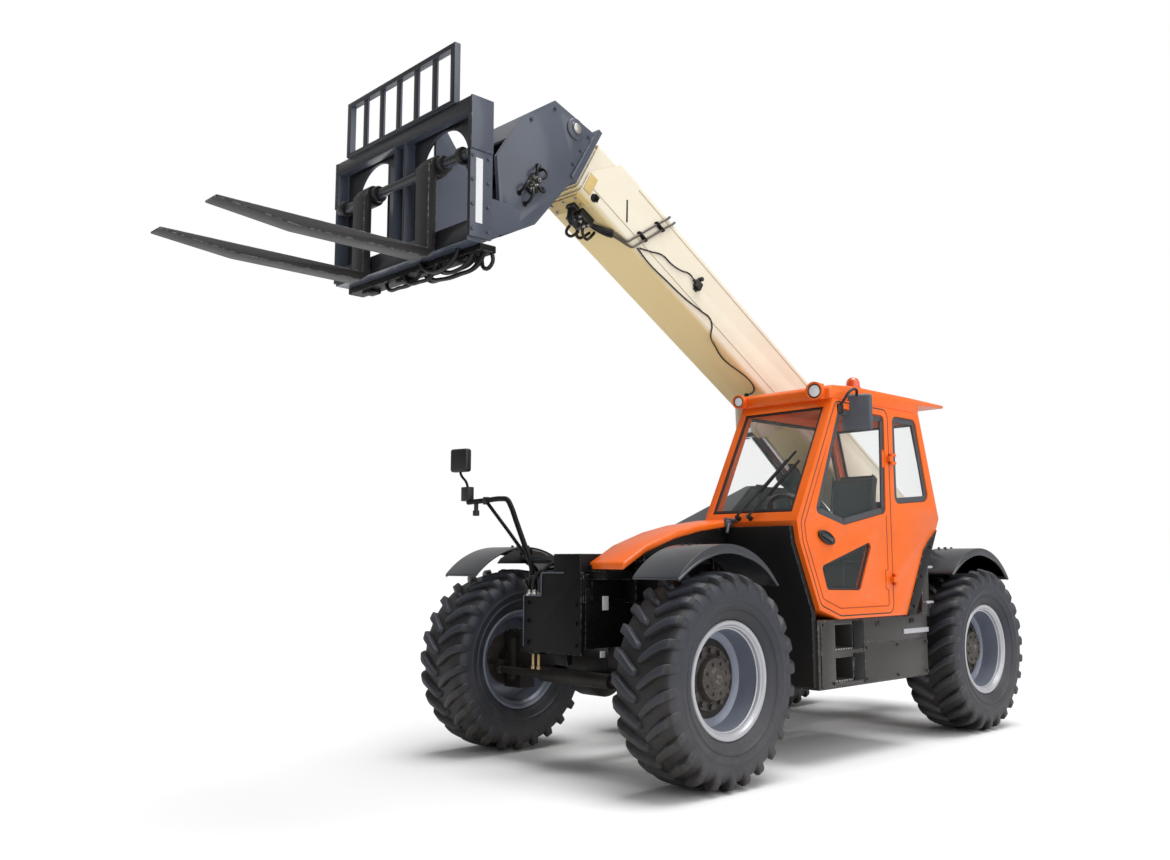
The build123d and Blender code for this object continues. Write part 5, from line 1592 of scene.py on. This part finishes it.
# %% Mirror arm
ARM = (
    (0.34, -0.266, 1.2), (0.35, -0.265, 1.29), (0.375, -0.262, 1.37), (0.38, -0.3, 1.445),
    (0.38, -0.4, 1.625), (0.38, -0.462, 1.735), (0.38, -0.5, 1.777), (0.38, -0.56, 1.786),
    (0.38, -0.75, 1.781), (0.38, -0.945, 1.776),
)
tube("mirror_arm_tube", "chassis", ARM, 0.0185, black_paint, sides=18)
tube(
    "mirror_arm_stay", "chassis",
    ((0.38, -0.735, 1.776), (0.372, -0.5, 1.565), (0.368, -0.264, 1.35)), 0.0125, black_paint, smooth=False,
)
tube(
    "mirror_stalk", "chassis",
    ((0.38, -0.95, 1.8), (0.38, -0.952, 1.88), (0.38, -0.972, 1.925), (0.38, -1.02, 1.965),
     (0.38, -1.042, 1.995), (0.38, -1.044, 2.06)),
    0.0095, black_paint,
)
arm_block = Shape()
arm_block.box((0.352, 0.408), (-0.998, -0.912), (1.785, 1.888))
arm_block.rod((0.38, -0.85, 1.785), (0.38, -0.85, 1.685), 0.016)
arm_block.rod((0.38, -0.85, 1.715), (0.38, -0.85, 1.675), 0.024)
arm_block.rod((0.38, -0.735, 1.752), (0.38, -0.735, 1.806), 0.024)
arm_block.rod((0.34, -0.266, 1.17), (0.341, -0.266, 1.26), 0.028)
arm_block.finish("mirror_arm_joints", "chassis", black_plastic, edge=0.006, segments=3)
mirror(
    "front_mirror", "chassis", (0.378, -1.044, 2.088), 14, ((-0.034, 0.032), 0.08, 0.086),
    ((-0.038, -0.032), 0.066, 0.072), black_plastic, "mirror_arm", 0.02,
)
tell("mirror arm")

# %% Cowl latch
# The latch takes the same lighter grey: painted light.
latch = Shape()
latch.box((-0.742, -0.664), (0.54, 0.596), (1.592, 1.632))
latch.rod((-0.7, 0.568, 1.62), (-0.7, 0.568, 1.652), 0.014)
latch.rod((-0.7, 0.59, 1.61), (-0.66, 0.604, 1.545), 0.011)
latch.rod((-0.735, 0.64, 1.628), (-0.735, 0.54, 1.64), 0.012)
latch.finish("cowl_latch", "chassis", lit_mirror_grey, edge=0.004)
tell("cowl latch")

# %% [markdown]
# ## Seat
# A real seat is foam under a skin: the panels belly out between their seams. Each cushion starts as a
# slightly smaller block, is filled by a short cloth simulation with pressure, and is smoothed. The
# piping comes after, on the finished form. In between, nothing moves further than a cap, so that the
# cushion stays in its frame.

# %% Cushion by cloth pressure
CUSHION_GROWTH = 0.02  # metres, the most that a point may move
CUSHION_VOXEL = 0.012
CUSHION_PRESSURE = 4
CUSHION_FRAMES = 12


def cushion(name, outline, y, body):
    """A padded block from a side-view outline between two Y stations, swollen by cloth pressure."""
    block_shape = Shape()
    block_shape.prism(outline, y)
    pad = rounded(block_shape.mesh(name), 0.03, 4)
    even = pad.modifiers.new("even", "REMESH")
    even.mode = "VOXEL"
    even.voxel_size = CUSHION_VOXEL
    pad = settle(pad)
    rest = [vertex.co.copy() for vertex in pad.data.vertices]
    cloth = pad.modifiers.new("fill", "CLOTH")
    cloth.settings.use_pressure = True
    cloth.settings.uniform_pressure_force = CUSHION_PRESSURE
    cloth.settings.effector_weights.gravity = 0
    cloth.settings.quality = 5
    scene = bpy.context.scene
    for number in range(1, CUSHION_FRAMES + 1):
        scene.frame_set(number)
    pad = settle(pad)
    scene.frame_set(1)
    for vertex, start in zip(pad.data.vertices, rest):
        moved = vertex.co - start
        if moved.length > CUSHION_GROWTH:
            vertex.co = start + moved.normalized() * CUSHION_GROWTH
    smoother = pad.modifiers.new("smooth", "SUBSURF")
    smoother.levels = smoother.render_levels = 1
    pad = settle(pad)
    dress(pad, body, seat_cloth, sharp=60, width=0)
    print(name, "has", len(pad.data.polygons), "faces")
    return pad


seat_y = (0.52, 0.93)
squab = cushion(
    "seat_squab", ((-1.575, 1.385), (-1.59, 1.432), (-1.96, 1.424), (-2.03, 1.37), (-1.6, 1.36)), seat_y,
    "chassis",
)
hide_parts("seat")
cushion(
    "seat_backrest", ((-1.995, 1.5), (-2.078, 2.005), (-2.12, 2.005), (-2.06, 1.47)), seat_y, "chassis",
)
for side, y in (("left", 0.9), ("right", 0.55)):
    tube(
        f"seat_piping_{side}", "chassis",
        ((-1.58, y, 1.45), (-1.76, y, 1.462), (-1.95, y, 1.446), (-1.99, y, 1.5), (-2.02, y, 1.74),
         (-2.065, y, 2.01)),
        0.006, black_plastic, sides=8,
    )
seat_frame = Shape()
seat_frame.box((-2.05, -1.6), (0.5, 0.95), (1.328, 1.362))
seat_frame.box((-1.66, -1.58), (0.56, 0.89), (1.34, 1.368))
seat_frame.prism(
    ((-2.07, 1.36), (-2.115, 1.5), (-2.15, 2.0), (-2.124, 2.01), (-2.075, 1.48), (-2.03, 1.36)),
    (0.57, 0.88),
)
for y in (0.47, 0.955):
    seat_frame.box((-2.02, -1.64), (y, y + 0.03), (1.56, 1.6))
    seat_frame.box((-2.06, -2.005), (y, y + 0.03), (1.42, 1.59))
seat_frame.finish("seat_frame", "chassis", black_plastic, edge=0.008)
tell("cushion by cloth pressure")

# %% Controls in the cab
controls = Shape()
controls.box((-1.64, -1.56), (0.445, 0.515), (1.56, 1.62))
controls.rod((-1.6, 0.48, 1.615), (-1.58, 0.48, 1.74), 0.012)
controls.rod((-1.581, 0.48, 1.725), (-1.574, 0.48, 1.8), 0.024)
controls.box((-1.72, -1.48), (0.395, 0.45), (1.02, 1.42))
controls.rod((-1.105, 0.725, 1.53), (-1.24, 0.725, 1.66), 0.026)
controls.box((-1.155, -0.99), (0.64, 0.81), (1.56, 1.64))
controls.finish("cab_controls", "chassis", black_plastic, edge=0.006)
dials = Shape()
for y in (0.68, 0.77):
    dials.turned(
        [(0.0, 0.0), (0.0, 0.034), (0.006, 0.034), (0.006, 0.028), (0.002, 0.026), (0.002, 0.0)],
        (-1.155, y, 1.608), (-1, 0, 0.25), sides=28,
    )
dials.finish("cab_dials", "chassis", white_lens, edge=0)
pedals = Shape()
for y in (0.56, 0.72, 0.86):
    pedals.box((-1.205, -1.15), (y, y + 0.075), (1.11, 1.12))
    pedals.rod((-1.155, y + 0.037, 1.115), (-1.1, y + 0.037, 1.25), 0.009)
pedals.finish("cab_pedals", "chassis", zinc, edge=0.002)
tell("controls in the cab")

# %% [markdown]
# ## Steps and side box
# The left box holds the two step wells. Their treads are cleats repeated by the row tree. The box front has
# bolted panels, a bright kick strip and two latches. A black plate covers the cab's lower rear corner,
# where the real corner is cut away and lies in shade, so the plate is painted shade; a small locker with
# bright handles stands behind it.

# %% Side box
CLEATS = 7
CLEAT_PITCH = 0.031
for step, heights in (("lower", (0.541, 0.552)), ("upper", (0.751, 0.762))):
    treads = Shape()
    treads.box((-1.398, -1.38), (0.9, 1.096), heights)
    row(treads, f"{step}_step_cleats", "chassis", zinc, CLEATS, (CLEAT_PITCH, 0, 0))
boxes("side_box_panels", "chassis", box_paint, [
    ((-2.418, -1.54), (1.098, 1.106), (0.79, 0.95)),
    ((-2.418, -1.54), (1.098, 1.106), (0.512, 0.776)),
    ((-1.17, -1.01), (1.098, 1.108), (0.512, 0.95)),
], edge=0.004)
boxes("step_side_plates", "chassis", black_paint, [
    ((-1.538, -1.404), (1.0985, 1.1065), (0.535, 0.722)),
    ((-1.538, -1.404), (1.0985, 1.1065), (0.748, 0.945)),
], edge=0.003)
boxes("side_box_bright_strip", "chassis", silver, [
    ((-2.432, -2.07), (1.104, 1.114), (0.822, 0.858)),
], edge=0.003)
bolts(
    "side_box_bolts", "chassis",
    [(x, 1.1065, z) for x in (-2.395, -1.98, -1.565) for z in (0.535, 0.752)] + [(-1.15, 1.1085, 0.535),
     (-1.03, 1.1085, 0.93)],
    (0, 1, 0), 0.016, box_paint,
)
latches = Shape()
for x in (-2.2, -1.72):
    latches.box((x - 0.03, x + 0.03), (1.104, 1.113), (0.895, 0.935))
    latches.rod((x, 1.104, 0.915), (x, 1.118, 0.915), 0.011)
latches.finish("side_box_latches", "chassis", casting, edge=0.003)
# A black plate over the cab's lower rear corner, where the real corner is cut away into shade: painted
# shade.
corner_plate = Shape()
corner_plate.prism(
    ((-2.594, 1.594), (-2.226, 0.955), (-2.108, 0.955), (-2.385, 1.445), (-2.47, 1.515)), (1.1185, 1.129),
)
corner_plate.finish("cab_corner_shade_plate", "chassis", guard_paint, edge=0.004)
bolts(
    "cab_corner_bolts", "chassis", [(-2.205, 1.13, 1.02), (-2.33, 1.13, 1.24), (-2.47, 1.13, 1.46)],
    (0, 1, 0), 0.018, black_plastic,
)
locker = Shape()
locker.prism(
    ((-2.56, 0.93), (-2.4, 0.93), (-2.4, 0.962), (-2.452, 0.97), (-2.462, 1.352), (-2.56, 1.352)),
    (0.82, 1.06),
)
locker.finish("rear_left_locker", "chassis", box_paint, edge=0.008)
handles = Shape()
for x, z in ((-2.508, 1.306), (-2.505, 1.04)):
    for end in (-0.042, 0.042):
        handles.rod((x + end, 1.055, z), (x + end, 1.086, z), 0.009)
    handles.rod((x - 0.054, 1.086, z), (x + 0.054, 1.086, z), 0.011)
handles.finish("rear_left_bright_handles", "chassis", silver, edge=0.003)
tube(
    "rear_left_hose", "chassis",
    ((-2.53, 1.03, 1.35), (-2.545, 1.03, 1.45), (-2.6, 1.01, 1.56), (-2.64, 0.9, 1.6), (-2.7, 0.68, 1.56)),
    0.014, hose_rubber,
)
tell("side box")

# %% [markdown]
# ## Right side
# The engine hood is one moulded shell. Behind its cut grille sits a dark plate with slats, and it
# closes with two rubber latches. Behind the cab the hydraulic tank has its cap and two straps.

# %% Engine hood and tank
rounded_slats = Shape()
rounded_slats.box((-2.245, -1.755), (-1.036, -1.024), (1.2435, 1.249))
row(rounded_slats, "hood_grille_slats", "hood", black_plastic, 6, (0, 0, 0.045), 0.001)
boxes("hood_grille_back", "hood", seal_rubber, [
    ((-2.262, -1.738), (-1.02, -1.016), (1.205, 1.48)),
], edge=0)
hood_latches = Shape()
for x in (-2.36, -1.3):
    hood_latches.box((x - 0.022, x + 0.022), (-1.05, -1.038), (1.105, 1.215))
    hood_latches.rod((x, -1.038, 1.195), (x, -1.058, 1.195), 0.016)
hood_latches.finish("hood_latches", "hood", black_plastic, edge=0.004)
boxes("engine_bay_seams", "chassis", black_paint, [
    ((-2.415, -1.06), (-1.063, -1.057), (1.04, 1.052)),
    ((-1.7, -1.69), (-1.0625, -1.057), (0.52, 1.075)),
], edge=0.002)
bolts(
    "engine_bay_bolts", "chassis",
    [(x, -1.0605, z) for x in (-2.38, -1.74, -1.65, -1.04) for z in (0.55, 0.99)], (0, -1, 0), 0.018,
    box_paint,
)
tank = Shape()
tank.turned(
    [(0.0, 0.0), (0.0, 0.058), (0.01, 0.06), (0.03, 0.058), (0.036, 0.05), (0.036, 0.0)],
    (-3.2, 0.56, 1.838), (0, 0, 1), sides=10,
)
tank.box((-3.32, -3.315), (0.42, 0.55), (1.6, 1.75))
tank.finish("tank_cap", "chassis", black_plastic, edge=0.004)
straps = Shape()
for x in (-3.2, -2.87):
    straps.box((x - 0.022, x + 0.022), (0.288, 0.686), (1.838, 1.846))
    straps.box((x - 0.022, x + 0.022), (0.678, 0.686), (1.496, 1.846))
straps.finish("tank_straps", "chassis", zinc, edge=0.002)
tell("engine hood and tank")

# %% Rear lamps and hitch
reds = Shape()
for hand in (1, -1):
    low, high = sorted((hand * 0.4, hand * 0.48))
    reds.box((REAR_X - 0.995, REAR_X - 0.98), (low, high), (0.995, 1.065))
reds.finish("rear_red_lenses", "chassis", red_lens, edge=0.004)
bolts(
    "counterweight_bolts", "chassis",
    [(REAR_X - 0.9855, y, z) for y in (-0.3, 0.3) for z in (0.905, 1.12)], (-1, 0, 0), 0.034, black_paint,
)
tell("rear lamps and hitch")

# %% [markdown]
# ## Running gear
# The lift cylinder ends in a gland nut and has two steel pipes tied under its barrel. Each axle end has
# a bolted kingpin cap and a brake line.

# %% Lift cylinder
LIFT_FOOT = SIDE @ Vector((-3.7, 0, 1.0))
LIFT_EYE = BOOM @ Vector((2.2, 0, -0.4))


def axis_frame(foot, eye):
    """A local space with X along a cylinder from its foot towards its eye and Z square to it."""
    run = (eye - foot).normalized()
    up = Vector((-run.z, 0, run.x))
    return Matrix.Translation(foot) @ Matrix((run, (0, 1, 0), up)).transposed().to_4x4()


lift_place = axis_frame(LIFT_FOOT, LIFT_EYE)
LIFT_GLAND = 1.85
glands = Shape(lift_place)
glands.turned(
    [(-0.07, 0.09), (-0.07, 0.1), (-0.01, 0.1), (0.0, 0.092), (0.012, 0.072), (0.014, 0.0565),
     (-0.01, 0.0565)],
    (LIFT_GLAND, 0, 0), (1, 0, 0), sides=36,
)
glands.turned(
    [(-0.02, 0.088), (-0.02, 0.098), (0.03, 0.098), (0.03, 0.088)], (0.25, 0, 0), (1, 0, 0), sides=36,
)
glands.finish("lift_gland", "lift_cylinder", black_paint, edge=0.001)
for number, y in enumerate((0.052, -0.052)):
    tube(
        f"lift_pipe_{number + 1}", "lift_cylinder",
        (
            (0.33, y, -0.078), (0.36, y, -0.094), (0.42, y, -0.097), (1.0, y, -0.097),
            (1.66 - number * 0.05, y, -0.097), (1.72 - number * 0.05, y, -0.092),
            (1.74 - number * 0.05, y, -0.078),
        ),
        0.0095, pipe_paint, lift_place,
    )
ties = Shape(lift_place)
for along in (0.62, 1.02, 1.42):
    ties.box((along - 0.012, along + 0.012), (-0.066, 0.066), (-0.11, -0.072))
ties.finish("lift_pipe_ties", "lift_cylinder", black_paint, edge=0.003)
tell("lift cylinder")

# %% Kingpin caps and brake lines
KINGPIN_Y = 0.85
CAP_BOLTS, CAP_RING = 6, 0.04
for axle, x in (("front", 0.0), ("rear", REAR_X)):
    for side, hand in (("left", 1), ("right", -1)):
        cap = Shape()
        cap.turned([(0.0, 0.0), (0.0, 0.052), (0.008, 0.052), (0.012, 0.046), (0.018, 0.02), (0.018, 0.0)],
                   (x, hand * KINGPIN_Y, WHEEL_Z + 0.197), (0, 0, 1), sides=32)
        cap.finish(f"{axle}_kingpin_cap_{side}", "chassis", casting, edge=0)
        around = [
            (x + CAP_RING * sin(turn), hand * KINGPIN_Y + CAP_RING * cos(turn), WHEEL_Z + 0.206)
            for turn in (2 * pi * k / CAP_BOLTS for k in range(CAP_BOLTS))
        ]
        bolts(f"{axle}_kingpin_bolts_{side}", "chassis", around, (0, 0, 1), 0.011, zinc)
        tube(
            f"{axle}_brake_line_{side}", "chassis",
            (
                (x, hand * 0.11, WHEEL_Z + 0.185), (x, hand * 0.18, WHEEL_Z + 0.165),
                (x, hand * 0.24, WHEEL_Z + 0.104), (x, hand * 0.42, WHEEL_Z + 0.099),
                (x, hand * 0.64, WHEEL_Z + 0.099), (x, hand * 0.705, WHEEL_Z + 0.11),
            ),
            0.006, pipe_paint, sides=8,
        )
tell("kingpin caps and brake lines")
